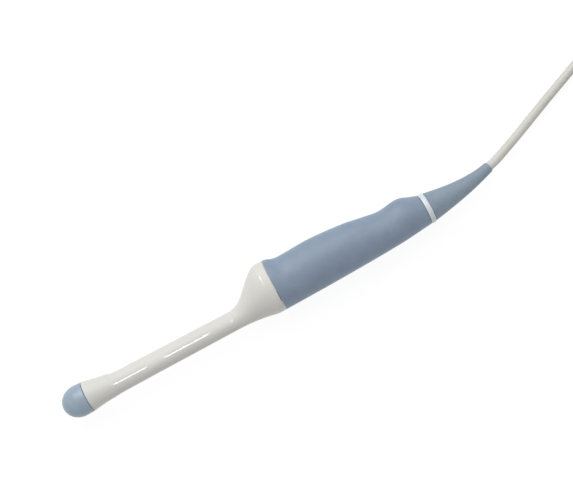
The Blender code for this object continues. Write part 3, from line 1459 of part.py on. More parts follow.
def make_probe(materials):
    probe = frame_empty("probe_frame")
    lens = make_lens(materials["lens"], probe)
    make_array(materials, probe)
    make_carrier(materials["nylon"], probe)
    housing = make_housing(materials["housing"], probe)
    make_seal(materials["seal"], probe)
    left = make_handle_half("handle_shell_left", 1, True, materials["handle"], probe)
    right = make_handle_half("handle_shell_right", -1, False, materials["handle"], probe)
    make_handle_fittings(right, probe)
    make_board(materials, probe)
    make_flexes(materials, probe)
    make_cable_anchor(materials, probe)
    ring = make_end_ring(materials["ring"], probe)
    boot = make_strain_relief(materials["boot"], probe)
    make_handle_cable(materials["cable"], probe)
    lay_on_floor(probe, [lens, housing, left, right, ring, boot])
    return probe


def straight_end(place, heading):
    """The cable's first two points, square to the boot that it comes out of."""
    return [place + heading * SEAT_GAP, place + heading * (SEAT_GAP + CABLE_DIAMETER)]


def make_cord(materials, probe):
    """The cable's lead, hank and tail, from the boot's end on. Returns the connector's place."""
    placed = Matrix.Translation(probe.location) @ probe.rotation_euler.to_matrix().to_4x4()
    start = placed @ boot_path(1.0)
    heading = (start - placed @ boot_path(0.98)).normalized()
    floor_start = Vector((start.x, start.y, 0))
    lead = straight_end(start, heading) + [floor_start + Vector(offset) * MM for offset in LEAD_ROUTE]
    make_cable("cable_lead", lead, materials["cable"])

    centre = floor_start + HANK_OFFSET.to_3d()
    make_hank(materials, centre)

    place = centre + CONNECTOR_FROM_HANK.to_3d()
    end = place + connector_boot_path(1.0)
    heading = (end - place - connector_boot_path(0.98)).normalized()
    tail = straight_end(end, heading) + [centre + Vector(offset) * MM for offset in TAIL_ROUTE[::-1]]
    make_cable("cable_tail", tail, materials["cable"])
    return place


def make_connector(materials, place):
    connector = frame_empty("connector_frame", location=place)
    make_connector_shells(materials, connector)
    make_plug(materials, connector)
    make_connector_inside(materials, connector)
    make_connector_boot(materials["boot"], connector)
    lock_axis = frame_empty("lock_axis", parent=connector)
    make_lock(materials, lock_axis)


clear_scene()
finishes = all_materials()
probe_frame = make_probe(finishes)
connector_place = make_cord(finishes, probe_frame)
make_connector(finishes, connector_place)
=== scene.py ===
# %% [markdown]
# An ultrasound probe lies on a white table, as it does when someone photographs it for a catalogue. Its
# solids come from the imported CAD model, and this lesson dresses them. Each piece is either one of the
# model's solids with a better finish, or a finer mesh that takes a solid's place and keeps to its size.

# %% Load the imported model
import json
import math

import bmesh
import bpy
from mathutils import Matrix, Vector


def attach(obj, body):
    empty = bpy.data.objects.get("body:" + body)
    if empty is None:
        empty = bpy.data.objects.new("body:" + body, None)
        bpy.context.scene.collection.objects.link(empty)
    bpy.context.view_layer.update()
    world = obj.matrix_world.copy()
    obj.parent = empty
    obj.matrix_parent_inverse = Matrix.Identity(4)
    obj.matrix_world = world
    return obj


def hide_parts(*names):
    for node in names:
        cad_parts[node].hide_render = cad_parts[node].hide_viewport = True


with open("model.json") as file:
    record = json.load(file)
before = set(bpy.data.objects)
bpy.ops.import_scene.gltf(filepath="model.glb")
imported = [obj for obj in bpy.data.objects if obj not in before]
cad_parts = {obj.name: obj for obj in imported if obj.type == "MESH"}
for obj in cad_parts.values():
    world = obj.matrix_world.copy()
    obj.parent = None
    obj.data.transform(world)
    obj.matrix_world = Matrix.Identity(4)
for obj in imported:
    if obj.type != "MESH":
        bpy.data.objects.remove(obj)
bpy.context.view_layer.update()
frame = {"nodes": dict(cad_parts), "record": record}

MM = 0.001
scene = bpy.context.scene


def add_object(name, data):
    """A new object in the scene."""
    made = bpy.data.objects.new(name, data)
    scene.collection.objects.link(made)
    return made


# %% [markdown]
# The photograph was taken from straight above, from so far away that nothing looks foreshortened. A camera
# that points straight down needs no aiming: it is turned about its own axis until the probe climbs to the
# right.

# %% The camera
LENS_MM, SENSOR_MM = 78.5, 36
CAMERA_PLACE = (0.0185, 0.01945, 0.893)
CAMERA_TURN = math.radians(-28)

camera = add_object("camera", bpy.data.cameras.new("camera"))
camera.data.lens, camera.data.sensor_width = LENS_MM, SENSOR_MM
camera.location = CAMERA_PLACE
camera.rotation_euler = (0, 0, CAMERA_TURN)
scene.camera = camera
print("camera", CAMERA_PLACE)

# %% [markdown]
# A white table gives soft light back to the underside of what lies on it. In the picture it should be plain
# white, with only a trace of shadow. One material does both: camera rays see a bright surface that is mostly
# its own light, and every other ray meets an ordinary white table.

# %% Helpers that join shader nodes
def link(tree, source, target):
    """Joins two sockets. A plain value is written on the target instead."""
    if isinstance(source, bpy.types.NodeSocket):
        tree.links.new(source, target)
    else:
        target.default_value = [*source, 1.0] if target.type == "RGBA" else source


def node(tree, kind, operation=None, settings=None, **inputs):
    """A node with its settings, and its inputs by name, with underscores for spaces or a number after i."""
    made = tree.nodes.new("ShaderNode" + kind)
    if operation:
        made.operation = operation
    for key, value in (settings or {}).items():
        setattr(made, key, value)
    for key, value in inputs.items():
        numbered = key[0] == "i" and key[1:].isdigit()
        link(tree, value, made.inputs[int(key[1:]) if numbered else key.replace("_", " ")])
    return made


def maths(tree, operation, *values):
    return node(tree, "Math", operation, **{f"i{i}": value for i, value in enumerate(values)}).outputs[0]


def cleared(owner):
    """The shader nodes of a material or world, with none in them yet."""
    owner.use_nodes = True
    owner.node_tree.nodes.clear()
    return owner.node_tree


def seen_apart(tree, output, unseen, seen):
    """Ends a tree with one shader for rays that show the background and another for all other rays."""
    rays = node(tree, "LightPath").outputs
    plainly = maths(tree, "MAXIMUM", rays["Is Camera Ray"], rays["Is Glossy Ray"])
    plainly = maths(tree, "MAXIMUM", plainly, rays["Is Transmission Ray"])
    chosen = node(tree, "MixShader", i0=plainly, i1=unseen.outputs[0], i2=seen.outputs[0])
    tree.links.new(chosen.outputs[0], node(tree, output).inputs["Surface"])


# %% The table and the world
TABLE_SIZE = 4.0
TABLE_LEVEL = 0.8
OWN_LIGHT = 0.9
SHADOWED_SHARE = 0.16
WORLD_LEVEL = 0.5
WHITE = (1, 1, 1)

white_table = bpy.data.materials.new("white_table")
tree = cleared(white_table)
plain = node(tree, "BsdfDiffuse", Color=(TABLE_LEVEL,) * 3)
faint = node(tree, "BsdfDiffuse", Color=(SHADOWED_SHARE,) * 3)
glow = node(tree, "Emission", Color=WHITE, Strength=OWN_LIGHT)
shown = node(tree, "AddShader", i0=faint.outputs[0], i1=glow.outputs[0])
seen_apart(tree, "OutputMaterial", plain, shown)

half = TABLE_SIZE / 2
table_mesh = bpy.data.meshes.new("table")
corners = [(-half, -half, 0), (half, -half, 0), (half, half, 0), (-half, half, 0)]
table_mesh.from_pydata(corners, [], [(0, 1, 2, 3)])
table_mesh.materials.append(white_table)
table = add_object("table", table_mesh)

scene.world = bpy.data.worlds.new("studio")
tree = cleared(scene.world)
soft = node(tree, "Background", Color=WHITE, Strength=WORLD_LEVEL)
white = node(tree, "Background", Color=WHITE, Strength=1.0)
seen_apart(tree, "OutputWorld", soft, white)
scene.view_settings.view_transform = "Standard"
print("table", TABLE_SIZE, "m, world level", WORLD_LEVEL)

# %% [markdown]
# The probe is brighter along its upper edge in the picture and darker along its lower one, so the main light
# stands beyond the top of the picture. A large area lamp keeps the change of tone gentle. Two narrow lamps
# draw the thin white strokes on the shaft: such a stroke is only the picture of a lamp in a curved surface.
# A place on the shaft shows a lamp that stands in its mirror direction, and that is how far to the left
# these two had to go.

# %% The lamps
def area_lamp(name, place, target, size, power):
    lamp = add_object(name, bpy.data.lights.new(name, "AREA"))
    lamp.data.shape = "RECTANGLE"
    lamp.data.size, lamp.data.size_y = size
    lamp.data.energy = power
    lamp.location = place
    lamp.rotation_euler = (Vector(target) - Vector(place)).to_track_quat("-Z", "Y").to_euler()


def picture_place(right, up, height):
    """A place above the table, by its distance to the right and up in the picture from the camera's foot."""
    turned_place = Matrix.Rotation(CAMERA_TURN, 3, "Z") @ Vector((right, up, 0))
    return turned_place + Vector((CAMERA_PLACE[0], CAMERA_PLACE[1], height))


area_lamp("key", picture_place(-0.5, 0.95, 1.0), (0, 0, 0), (0.75, 1.7), 12.0)
area_lamp("fill", picture_place(-0.9, -0.9, 1.0), (0, 0, 0), (1.2, 1.2), 0.4)
area_lamp("strip_front", (-0.327, 0.874, 0.808), (-0.128, -0.008, 0.027), (0.072, 0.03), 0.5)
area_lamp("strip_rear", (-0.190, 0.886, 0.820), (-0.070, -0.008, 0.027), (0.107, 0.03), 0.6)

# %% [markdown]
# Moulded plastic is never one flat colour. Its tone drifts a little over a few centimetres, its surface
# carries the fine texture of the mould, and its gloss changes where hands have touched it. Nearly every
# finish here needs these three things, so they are made once, as a node group, and each material gives it
# its own colours and sizes.

# %% Node groups that several finishes share
BLOTCH_LOW, BLOTCH_HIGH = 0.36, 0.66
TOUCHED_SHARE = 0.4
BRUSHED_SPREAD = 0.3


def shader_group(name, inputs, outputs):
    """An empty node group with its named sockets, and the sockets at its two ends."""
    kinds = {float: "NodeSocketFloat", tuple: "NodeSocketColor", Vector: "NodeSocketVector"}
    group = bpy.data.node_groups.new(name, "ShaderNodeTree")
    for label, value in inputs.items():
        kind = kinds[type(value)]
        group.interface.new_socket(name=label, in_out="INPUT", socket_type=kind).default_value = value
    for label in outputs:
        kind = kinds[tuple if label == "Colour" else float]
        group.interface.new_socket(name=label, in_out="OUTPUT", socket_type=kind)
    return group, group.nodes.new("NodeGroupInput").outputs, group.nodes.new("NodeGroupOutput").inputs


def noise(tree, size, place, detail, rough):
    """Soft noise whose features are about size metres across."""
    scale = maths(tree, "DIVIDE", 1.0, size)
    return node(tree, "TexNoise", Vector=place, Scale=scale, Detail=detail, Roughness=rough).outputs["Fac"]


def mixed(tree, share, one, other):
    mix = node(tree, "Mix", settings={"data_type": "RGBA"}, i0=share, i6=one, i7=other)
    return mix.outputs[2]


def varied(tree, middle, source, spread):
    """A value that noise moves up and down, by half the spread each way."""
    return maths(tree, "ADD", middle, maths(tree, "MULTIPLY", maths(tree, "SUBTRACT", source, 0.5), spread))


def make_moulded_group():
    """Colour, Roughness and Height of a moulded surface, in the object's own coordinates."""
    inputs = {
        "Colour": (0.8, 0.8, 0.8, 1.0),
        "Tint": (0.7, 0.7, 0.7, 1.0),
        "Tint share": 0.5,
        "Blotch size": 0.012,
        "Grain size": 0.0004,
        "Roughness": 0.4,
        "Roughness spread": 0.1,
    }
    group, given, out = shader_group("moulded_surface", inputs, ("Colour", "Roughness", "Height"))
    place = node(group, "TexCoord").outputs["Object"]
    blotches = noise(group, given["Blotch size"], place, 3.0, 0.55)
    blotches = node(group, "MapRange", i0=blotches, i1=BLOTCH_LOW, i2=BLOTCH_HIGH).outputs[0]
    share = maths(group, "MULTIPLY", blotches, given["Tint share"])
    link(group, mixed(group, share, given["Colour"], given["Tint"]), out["Colour"])
    touched = noise(group, maths(group, "MULTIPLY", given["Blotch size"], TOUCHED_SHARE), place, 4.0, 0.6)
    link(group, varied(group, given["Roughness"], touched, given["Roughness spread"]), out["Roughness"])
    link(group, noise(group, given["Grain size"], place, 2.0, 0.6), out["Height"])
    return group


def make_brushed_group():
    """Roughness and Height of metal with fine lines along one axis."""
    inputs = {"Line size": 0.0002, "Stretch": Vector((1, 1, 0.04)), "Roughness": 0.3}
    group, given, out = shader_group("brushed_metal", inputs, ("Roughness", "Height"))
    place = node(group, "TexCoord").outputs["Object"]
    long = node(group, "VectorMath", "MULTIPLY", i0=place, i1=given["Stretch"]).outputs[0]
    lines = noise(group, given["Line size"], long, 3.0, 0.6)
    link(group, varied(group, given["Roughness"], lines, BRUSHED_SPREAD), out["Roughness"])
    link(group, lines, out["Height"])
    return group


def make_web_group():
    """Colour and Height of a narrow woven web, with ribs across and threads along."""
    inputs = {"Colour": (0.1, 0.1, 0.1, 1.0), "Thread colour": (0.2, 0.2, 0.2, 1.0), "Pitch": 0.001}
    group, given, out = shader_group("woven_web", inputs, ("Colour", "Height"))
    turns = maths(group, "DIVIDE", math.tau, given["Pitch"])
    axes = node(group, "SeparateXYZ", Vector=node(group, "TexCoord").outputs["UV"]).outputs
    waves = [maths(group, "SINE", maths(group, "MULTIPLY", axes[axis], turns)) for axis in "XY"]
    height = maths(group, "ADD", maths(group, "MULTIPLY", maths(group, "MULTIPLY", *waves), 0.5), 0.5)
    link(group, mixed(group, height, given["Colour"], given["Thread colour"]), out["Colour"])
    link(group, height, out["Height"])
    return group


MOULDED, BRUSHED, WEB = make_moulded_group(), make_brushed_group(), make_web_group()
print("groups", [g.name for g in bpy.data.node_groups])

# %% [markdown]
# A colour that was read off a screen is not yet an amount of light. The screen's levels are first turned
# into linear light, and then they go into the Principled shader, which every finish of this probe uses.

# %% Makers of finishes
FINISH = {}


def linear(levels):
    """Screen levels from 0 to 255 as linear light."""
    shares = [level / 255 for level in levels]
    return tuple(s / 12.92 if s <= 0.04045 else ((s + 0.055) / 1.055) ** 2.4 for s in shares)


def finish(name, group, depth, inputs, **values):
    """A finish whose node group gives what varies over it, with bumps up to depth metres high."""
    material = bpy.data.materials.new(name)
    material.use_nodes = True
    tree = material.node_tree
    shader = tree.nodes["Principled BSDF"]
    for key, value in values.items():
        shader.inputs[key.replace("_", " ")].default_value = value
    look = node(tree, "Group", settings={"node_tree": group}, **inputs).outputs
    for label, target in (("Colour", "Base Color"), ("Roughness", "Roughness")):
        if label in look:
            link(tree, look[label], shader.inputs[target])
    bump = node(tree, "Bump", Height=look["Height"], Distance=depth, Strength=1.0)
    link(tree, bump.outputs["Normal"], shader.inputs["Normal"])
    FINISH[name] = material


def moulded(
    name, colour, tint, share=0.5, blotch=12.0, grain=0.4, depth=0.01, rough=0.4, spread=0.1, **values
):
    """A moulded plastic or rubber. Sizes are in millimetres, colours in screen levels."""
    inputs = {
        "Colour": linear(colour),
        "Tint": linear(tint),
        "Tint_share": share,
        "Blotch_size": blotch * MM,
        "Grain_size": grain * MM,
        "Roughness": rough,
        "Roughness_spread": spread,
    }
    finish(name, MOULDED, depth * MM, inputs, **values)


def metal(name, colour, rough, stretch=(1, 1, 0.04)):
    inputs = {"Line_size": 0.2 * MM, "Stretch": stretch, "Roughness": rough}
    finish(name, BRUSHED, 0.002 * MM, inputs, Metallic=1.0, Base_Color=(*linear(colour), 1.0))


# %% [markdown]
# The housing is hard and warm white, and glossy only where it has been rubbed, which a mask on the mesh
# tells. The handle is a soft satin blue-grey, with a cool sheen where the light grazes it. The cap over the
# array is silicone: it lets a little light in, which softens its shading.

# %% The finishes of the probe
SATIN = {"Sheen_Roughness": 0.5, "Sheen_Tint": (0.6, 0.85, 1.0, 1.0)}

moulded(
    "lens_silicone", (150, 167, 184), (142, 159, 176), 0.6, blotch=9.0, grain=0.25, depth=0.004, rough=0.38,
    spread=0.06, IOR=1.66, Sheen_Weight=0.4, Subsurface_Weight=0.12, Subsurface_Scale=0.0012, **SATIN,
)
moulded(
    "housing_white", (221, 220, 215), (214, 214, 209), blotch=26.0, grain=0.6, depth=0.002, rough=0.34,
    spread=0.06, Specular_IOR_Level=0.2, Coat_IOR=2.3, Coat_Roughness=0.07,
)
moulded(
    "handle_blue_grey", (134, 150, 170), (127, 141, 161), 0.7, blotch=9.0, grain=0.35, depth=0.012,
    rough=0.45, IOR=1.46, Sheen_Weight=0.3, **SATIN,
)
moulded("ring_white", (220, 226, 233), (213, 219, 227), 0.4, blotch=8.0, grain=0.5, depth=0.002, rough=0.3)
moulded(
    "boot_blue_grey", (134, 150, 165), (127, 142, 157), 0.6, blotch=8.0, grain=0.3, rough=0.52,
    IOR=1.6, Sheen_Weight=0.3, **SATIN,
)
moulded(
    "cable_jacket", (212, 210, 203), (204, 202, 194), 0.6, blotch=14.0, grain=0.3, depth=0.006, rough=0.48,
)

tree = FINISH["housing_white"].node_tree
mask = node(tree, "Attribute", settings={"attribute_name": "ledge"}).outputs["Fac"]
link(tree, mask, tree.nodes["Principled BSDF"].inputs["Coat Weight"])
print("finishes", sorted(FINISH))

# %% [markdown]
# The parts that hide inside the probe have finishes too, because someone may take it apart on the screen.
# Rubber is dark and dull, the circuit board is green and glossy, the screws are steel with turned lines.

# %% The finishes of the inside and of the connector
DARK = {"blotch": 10.0, "depth": 0.008}
moulded("seal_rubber", (84, 86, 90), (70, 72, 76), rough=0.7, **DARK)
moulded("matching_epoxy", (124, 100, 74), (104, 84, 62), blotch=3.0, rough=0.5)
moulded("piezo_ceramic", (194, 186, 164), (178, 170, 148), blotch=2.0, rough=0.45)
moulded("backing_absorber", (60, 62, 68), (48, 50, 56), rough=0.8, **DARK)
moulded("nylon_black", (48, 50, 54), (40, 42, 46), rough=0.55, **DARK)
moulded(
    "connector_black", (72, 76, 84), (62, 66, 74), blotch=16.0, grain=0.5, depth=0.02, rough=0.48,
    spread=0.14,
)
moulded("board_laminate", (44, 98, 62), (34, 82, 50), blotch=4.0, rough=0.3)
moulded("flex_polyimide", (188, 126, 46), (168, 108, 36), blotch=3.0, rough=0.3)
moulded("coax_cores", (172, 174, 178), (150, 152, 158), blotch=2.0, rough=0.5)
moulded("insulator_dark", (50, 52, 58), (42, 44, 50), rough=0.45, **DARK)
moulded("lock_grip", (132, 146, 163), (124, 136, 152), 0.6, blotch=7.0, grain=0.35, depth=0.012, rough=0.46)
metal("screw_steel", (176, 178, 182), 0.32)
metal("crimp_brass", (208, 178, 112), 0.3)
metal("plug_nickel", (190, 190, 186), 0.26, stretch=(0.05, 0.05, 1))

weave = {"Colour": linear((58, 62, 70)), "Thread_colour": linear((92, 97, 106)), "Pitch": 1.1 * MM}
finish("strap_fabric", WEB, 0.12 * MM, weave, Roughness=0.85, Sheen_Weight=0.25)
slots = {m["slot"] for m in frame["record"]["materials"]}
print("slots without a finish", sorted(slots - set(FINISH)))

# %% [markdown]
# Nearly every moulded part is a row of outlines with a skin between them, from a probe's handle to the bell
# of a cable boot. Rings of points with faces from each ring to the next need no modelling by hand, and the
# rings can follow the same measures as the CAD model, only closer together.

# %% Helpers for curves
def lerp(start, end, share):
    return start + (end - start) * share


def ease(share):
    """A smooth step from 0 to 1."""
    share = min(max(share, 0.0), 1.0)
    return share * share * (3 - 2 * share)


def strung(start, *legs):
    """Values from start through the end of each (end, step) leg, no further apart than its step."""
    values = [start]
    for end, step in legs:
        first = values[-1]
        count = max(math.ceil(abs(end - first) / step), 1)
        values += [lerp(first, end, (i + 1) / count) for i in range(count)]
    return values


def around(count, offset=0):
    """Angles that go once round in equal steps."""
    return [math.tau * (k + offset) / count for k in range(count)]


def quarter_turn(steps):
    """Angles from 0 to a quarter turn in equal steps, with both ends."""
    return [math.pi / 2 * k / steps for k in range(steps + 1)]


def smooth_curve(stations, x):
    """The height at x of a curve through (x, height) stations that never overshoots them."""
    xs, ys = zip(*stations)
    x = min(max(x, xs[0]), xs[-1])
    slopes = [(ys[i + 1] - ys[i]) / (xs[i + 1] - xs[i]) for i in range(len(xs) - 1)]
    between = [2 * a * b / (a + b) if a * b > 0 else 0.0 for a, b in zip(slopes, slopes[1:])]
    tangents = [slopes[0], *between, slopes[-1]]
    i = max(k for k in range(len(slopes)) if xs[k] <= x)
    step = xs[i + 1] - xs[i]
    t = (x - xs[i]) / step
    return (
        (2 * t**3 - 3 * t**2 + 1) * ys[i]
        + (t**3 - 2 * t**2 + t) * step * tangents[i]
        + (3 * t**2 - 2 * t**3) * ys[i + 1]
        + (t**3 - t**2) * step * tangents[i + 1]
    )


def softened(corners, radius, steps=4, closed=True):
    """An outline whose corners are turned into small arcs. An open outline keeps its two ends."""
    points = [Vector(c) for c in corners]
    outline = []
    for i, here in enumerate(points):
        if not closed and i in (0, len(points) - 1):
            outline.append(here)
            continue
        before, after = points[i - 1], points[(i + 1) % len(points)]
        cut = min(radius, (before - here).length * 0.48, (after - here).length * 0.48)
        one = here + (before - here).normalized() * cut
        two = here + (after - here).normalized() * cut
        for t in (k / steps for k in range(steps + 1)):
            outline.append((1 - t) ** 2 * one + 2 * t * (1 - t) * here + t**2 * two)
    return outline


# %% Helpers for skins
def skin(rings, closed=False):
    """Points and faces through rings of equally many points. A closed skin joins its last to its first."""
    count = len(rings[0])
    points = [tuple(p) for ring in rings for p in ring]
    pairs = [(k, k + 1) for k in range(len(rings) - 1)]
    faces = []
    if closed:
        pairs.append((len(rings) - 1, 0))
    else:
        faces += [tuple(range(count)), tuple(range(len(points) - count, len(points)))]
    for a, b in pairs:
        for i in range(count):
            j = (i + 1) % count
            faces.append((a * count + i, a * count + j, b * count + j, b * count + i))
    return points, faces


def turned(profile, centre=(0, 0), segments=64, closed=False):
    """A profile of (along, radius) points spun about a line along x, at a centre in y and z."""
    y, z = centre
    angles = around(segments)
    return skin([[(a, y + r * math.sin(t), z + r * math.cos(t)) for t in angles] for a, r in profile], closed)


def round_ring(centre, radius, ahead, segments=48):
    """A circle square to the direction ahead."""
    side = Vector((0, 0, 1)).cross(ahead).normalized()
    over = ahead.cross(side).normalized()
    return [centre + radius * (math.cos(a) * over + math.sin(a) * side) for a in around(segments)]


def tube_rings(path, radii):
    """Circles square to a smooth path, one radius each."""
    ends = [path[0], *path, path[-1]]
    places = zip(ends, path, ends[2:], radii)
    return [round_ring(here, radius, after - before) for before, here, after, radius in places]


# %% A helper that turns points and faces into a piece of the probe
LEAN = math.radians(0.96371)
PROBE_PLACE = Vector((-171.9963, -8.55, 20.0288)) * MM
ON_TABLE = Matrix.Translation(PROBE_PLACE) @ Matrix.Rotation(LEAN, 4, "Y")
DOUBLES = 2e-6


def build_mesh(name, shape, place):
    """A clean mesh from points and faces: doubles merged, normals outwards."""
    points, faces = shape
    mesh = bpy.data.meshes.new(name)
    mesh.from_pydata(points, [], faces)
    bm = bmesh.new()
    bm.from_mesh(mesh)
    bmesh.ops.remove_doubles(bm, verts=bm.verts, dist=DOUBLES)
    bmesh.ops.recalc_face_normals(bm, faces=bm.faces)
    bm.transform(place)
    bm.to_mesh(mesh)
    bm.free()
    return mesh


def add_piece(name, mesh, slot, nodes=(), body="probe", sharp=38):
    """Shows a mesh as a piece that rides on a body, takes a slot's finish and stands for some CAD nodes."""
    mesh.shade_smooth()
    mesh.set_sharp_from_angle(angle=math.radians(sharp))
    mesh.materials.append(FINISH[slot])
    piece = add_object(name, mesh)
    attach(piece, body)
    if nodes:
        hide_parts(*nodes)
    print(name, len(mesh.polygons), "faces")
    return piece


def probe_piece(name, shape, slot, stands_for):
    return add_piece(name, build_mesh(name, shape, ON_TABLE), slot, [stands_for])


# %% [markdown]
# The cap is the part that touches the patient: a dome of silicone over the curved array, with a short
# straight skirt. It is one profile spun about the probe's axis, and its edge is rolled a little, so that a
# fine dark line is left between it and the housing.

# %% The acoustic cap
SEAM_GAP = 0.3 * MM
LENS_SEAM = 19.0 * MM
LENS_RADIUS = 11.4 * MM
LENS_DOME_HEIGHT = 12.6 * MM
LENS_SKIRT_TAPER = 0.2 * MM
LENS_WALL = 1.0 * MM
LENS_ROLL = 0.5 * MM
HEAD_OFFSET = 1.0 * MM


def dome(inset, steps):
    """(along, radius) points of the cap's dome from its tip to its skirt, set in by inset."""
    height, radius = LENS_DOME_HEIGHT - inset, LENS_RADIUS - inset
    angles = quarter_turn(steps)
    return [(LENS_DOME_HEIGHT - height * math.cos(a), radius * math.sin(a)) for a in angles]


lens_end = LENS_SEAM - SEAM_GAP / 2
lens_edge = LENS_RADIUS - LENS_SKIRT_TAPER
angles = quarter_turn(4)
roll = [(lens_end - LENS_ROLL * (1 - math.sin(a)), lens_edge - LENS_ROLL * (1 - math.cos(a))) for a in angles]
profile = dome(0.0, 24) + roll + [(lens_end, LENS_RADIUS - LENS_WALL)] + dome(LENS_WALL, 12)[::-1]
probe_piece("acoustic_cap", turned(profile, (HEAD_OFFSET, 0)), "lens_silicone", "acoustic_lens")

# %% [markdown]
# The front housing is one moulding: a flare behind the cap, a slim shaft, and a shoulder that swells into
# the handle's outline. It is oval at any place. The thumb side of the shaft carries a long shallow land with
# rounded ends, where a needle guide clips on. The land's ledge catches the light, so the mesh has close rows
# of points along it, and the depth of each point comes from its distance to the ledge. Where the guide
# seats, the ledge is crisp and rubbed bright, and between those places it runs out softly. Each point keeps
# a number that says how much it is rubbed, and the finish reads it as a mask.

# %% The front housing's measures
FLARE_LENGTH = 25.0 * MM
SHAFT_LENGTH = 116.5 * MM
SHAFT_FRONT_RADIUS, SHAFT_REAR_RADIUS = 8.0 * MM, 7.35 * MM
SHOULDER_START = LENS_SEAM + SHAFT_LENGTH
SHOULDER_LENGTH, SHOULDER_CURVE = 28.6 * MM, 0.93
COLLAR_START = SHOULDER_START + SHOULDER_LENGTH
HANDLE_START = COLLAR_START + 5.9 * MM
COLLAR_TOP, COLLAR_BOTTOM, COLLAR_HALF_WIDTH = 27.7 * MM, -10.6 * MM, 17.2 * MM
LAND_START, LAND_END = LENS_SEAM + 19.2 * MM, SHOULDER_START - 0.8 * MM
LAND_DEPTH, LAND_CORNER, LAND_MARGIN = 0.5 * MM, 3.0 * MM, 1.2 * MM
LEDGE_WIDTH, SOFT_LEDGE_WIDTH = 1.0 * MM, 6.0 * MM
RUB_IN, RUB_OUT = 3.0 * MM, 5.0 * MM
RUBBED_SPANS = ((34 * MM, 67 * MM), (79 * MM, 116 * MM), (131 * MM, 140 * MM))
EDGE, WALL = 0.35 * MM, 2.0 * MM


def flare_radius(x):
    span = lens_edge - SHAFT_FRONT_RADIUS
    stations = [
        (0.0, lens_edge),
        (0.25 * FLARE_LENGTH, lens_edge - 0.34 * span),
        (0.6 * FLARE_LENGTH, lens_edge - 0.72 * span),
        (FLARE_LENGTH, SHAFT_FRONT_RADIUS),
        (SHAFT_LENGTH, SHAFT_REAR_RADIUS),
    ]
    return smooth_curve(stations, x - LENS_SEAM)


def housing_section(x):
    """(bottom, top, half width) of the front housing's outside at x."""
    if x <= SHOULDER_START:
        centre = HEAD_OFFSET * (1 - ease((x - LENS_SEAM) / FLARE_LENGTH))
        radius = flare_radius(x)
        return centre - radius, centre + radius, radius
    share = min((x - SHOULDER_START) / SHOULDER_LENGTH, 1.0)
    rise = ease(share * SHOULDER_CURVE) / ease(SHOULDER_CURVE)
    return (
        lerp(-SHAFT_REAR_RADIUS, COLLAR_BOTTOM, share**2),
        lerp(SHAFT_REAR_RADIUS, COLLAR_TOP, rise),
        lerp(SHAFT_REAR_RADIUS, COLLAR_HALF_WIDTH, rise),
    )


def oval_point(x, section, angle, inset=0.0):
    """The point of an oval section at an angle that runs from +z towards +y."""
    bottom, top, half_width = section
    height = ((top - bottom) / 2 - inset) * math.sin(angle)
    return Vector((x, (top + bottom) / 2 + height, (half_width - inset) * math.cos(angle)))


def rubbed(x):
    """How much the guide has rubbed the ledge at x, from 0 to 1."""
    return max(ease((x - start) / RUB_IN) * ease((end - x) / RUB_OUT) for start, end in RUBBED_SPANS)


def land_depth(x, angle):
    """How deep the land lies at a place of the shaft: nothing outside its ledge, its full depth inside."""
    half_length = (LAND_END - LAND_START) / 2
    along = abs(x - (LAND_START + LAND_END) / 2) - half_length + LAND_CORNER
    across = (abs(angle - math.pi / 2) - math.pi / 2) * flare_radius(x) + LAND_CORNER
    outside = math.hypot(max(along, 0), max(across, 0)) + min(max(along, across), 0) - LAND_CORNER
    return LAND_DEPTH * ease(0.5 - outside / lerp(SOFT_LEDGE_WIDTH, LEDGE_WIDTH, rubbed(x)))


def edge_roll(count):
    """(along, inset) steps that roll an edge over, from the face inwards."""
    angles = quarter_turn(count)[:-1]
    return [(EDGE * (1 - math.cos(a)), EDGE * (1 - math.sin(a))) for a in angles]


# %% The front housing
CLOSE, MIDDLE, WIDE = (math.radians(a) for a in (1.25, 4, 6))
near, far = math.radians(-9), math.radians(30)
legs = ((far, CLOSE), (math.pi - far, MIDDLE), (math.pi - near, CLOSE), (math.tau + near, WIDE))
housing_angles = strung(near, *legs)[:-1]

housing_front, housing_back = LENS_SEAM + SEAM_GAP / 2, HANDLE_START - SEAM_GAP / 2
reach, fine_step = 4.5 * MM, 0.2 * MM
CREASE_WIDTH, CREASE_SHARE = 0.5 * MM, 0.4
stations = strung(
    housing_front + EDGE,
    (LAND_START - LAND_MARGIN, 0.8 * MM),
    (LAND_START + reach, fine_step),
    (LAND_END - reach, 2 * MM),
    (LAND_END + LAND_MARGIN, fine_step),
    (COLLAR_START - 0.4 * MM, 0.7 * MM),
    (COLLAR_START, 0.5 * MM),
    (housing_back - EDGE, 0.6 * MM),
)


def housing_ring(x, inset=0.0):
    """The housing's outline at x. Only the outside, which has no inset, shows the land."""
    on_land = not inset and LAND_START - LAND_MARGIN < x < LAND_END + LAND_MARGIN
    section = housing_section(x)
    return [oval_point(x, section, a, land_depth(x, a) if on_land else inset) for a in housing_angles]


rings = [housing_ring(housing_front, WALL)]
rings += [housing_ring(housing_front + along, inset) for along, inset in edge_roll(4)]
rings += [housing_ring(x) for x in stations]
rings += [housing_ring(housing_back - along, inset) for along, inset in edge_roll(4)[::-1]]
rings += [housing_ring(x, WALL) for x in strung(housing_back, (housing_front, 4 * MM))[:-1]]
housing = probe_piece("front_housing", skin(rings, closed=True), "housing_white", "shaft_housing")

on_probe = ON_TABLE.inverted()
ledge = housing.data.attributes.new("ledge", "FLOAT", "POINT")
for vertex in housing.data.vertices:
    x, y, z = on_probe @ vertex.co
    angle = (math.atan2(y, z) + math.pi / 2) % math.tau - math.pi / 2
    sunk = land_depth(x, angle) / LAND_DEPTH if x < LAND_END + LAND_MARGIN else 0.0
    crease = ease(1 - abs(x - COLLAR_START) / CREASE_WIDTH)
    ledge.data[vertex.index].value = 4 * sunk * (1 - sunk) * rubbed(x) + CREASE_SHARE * crease

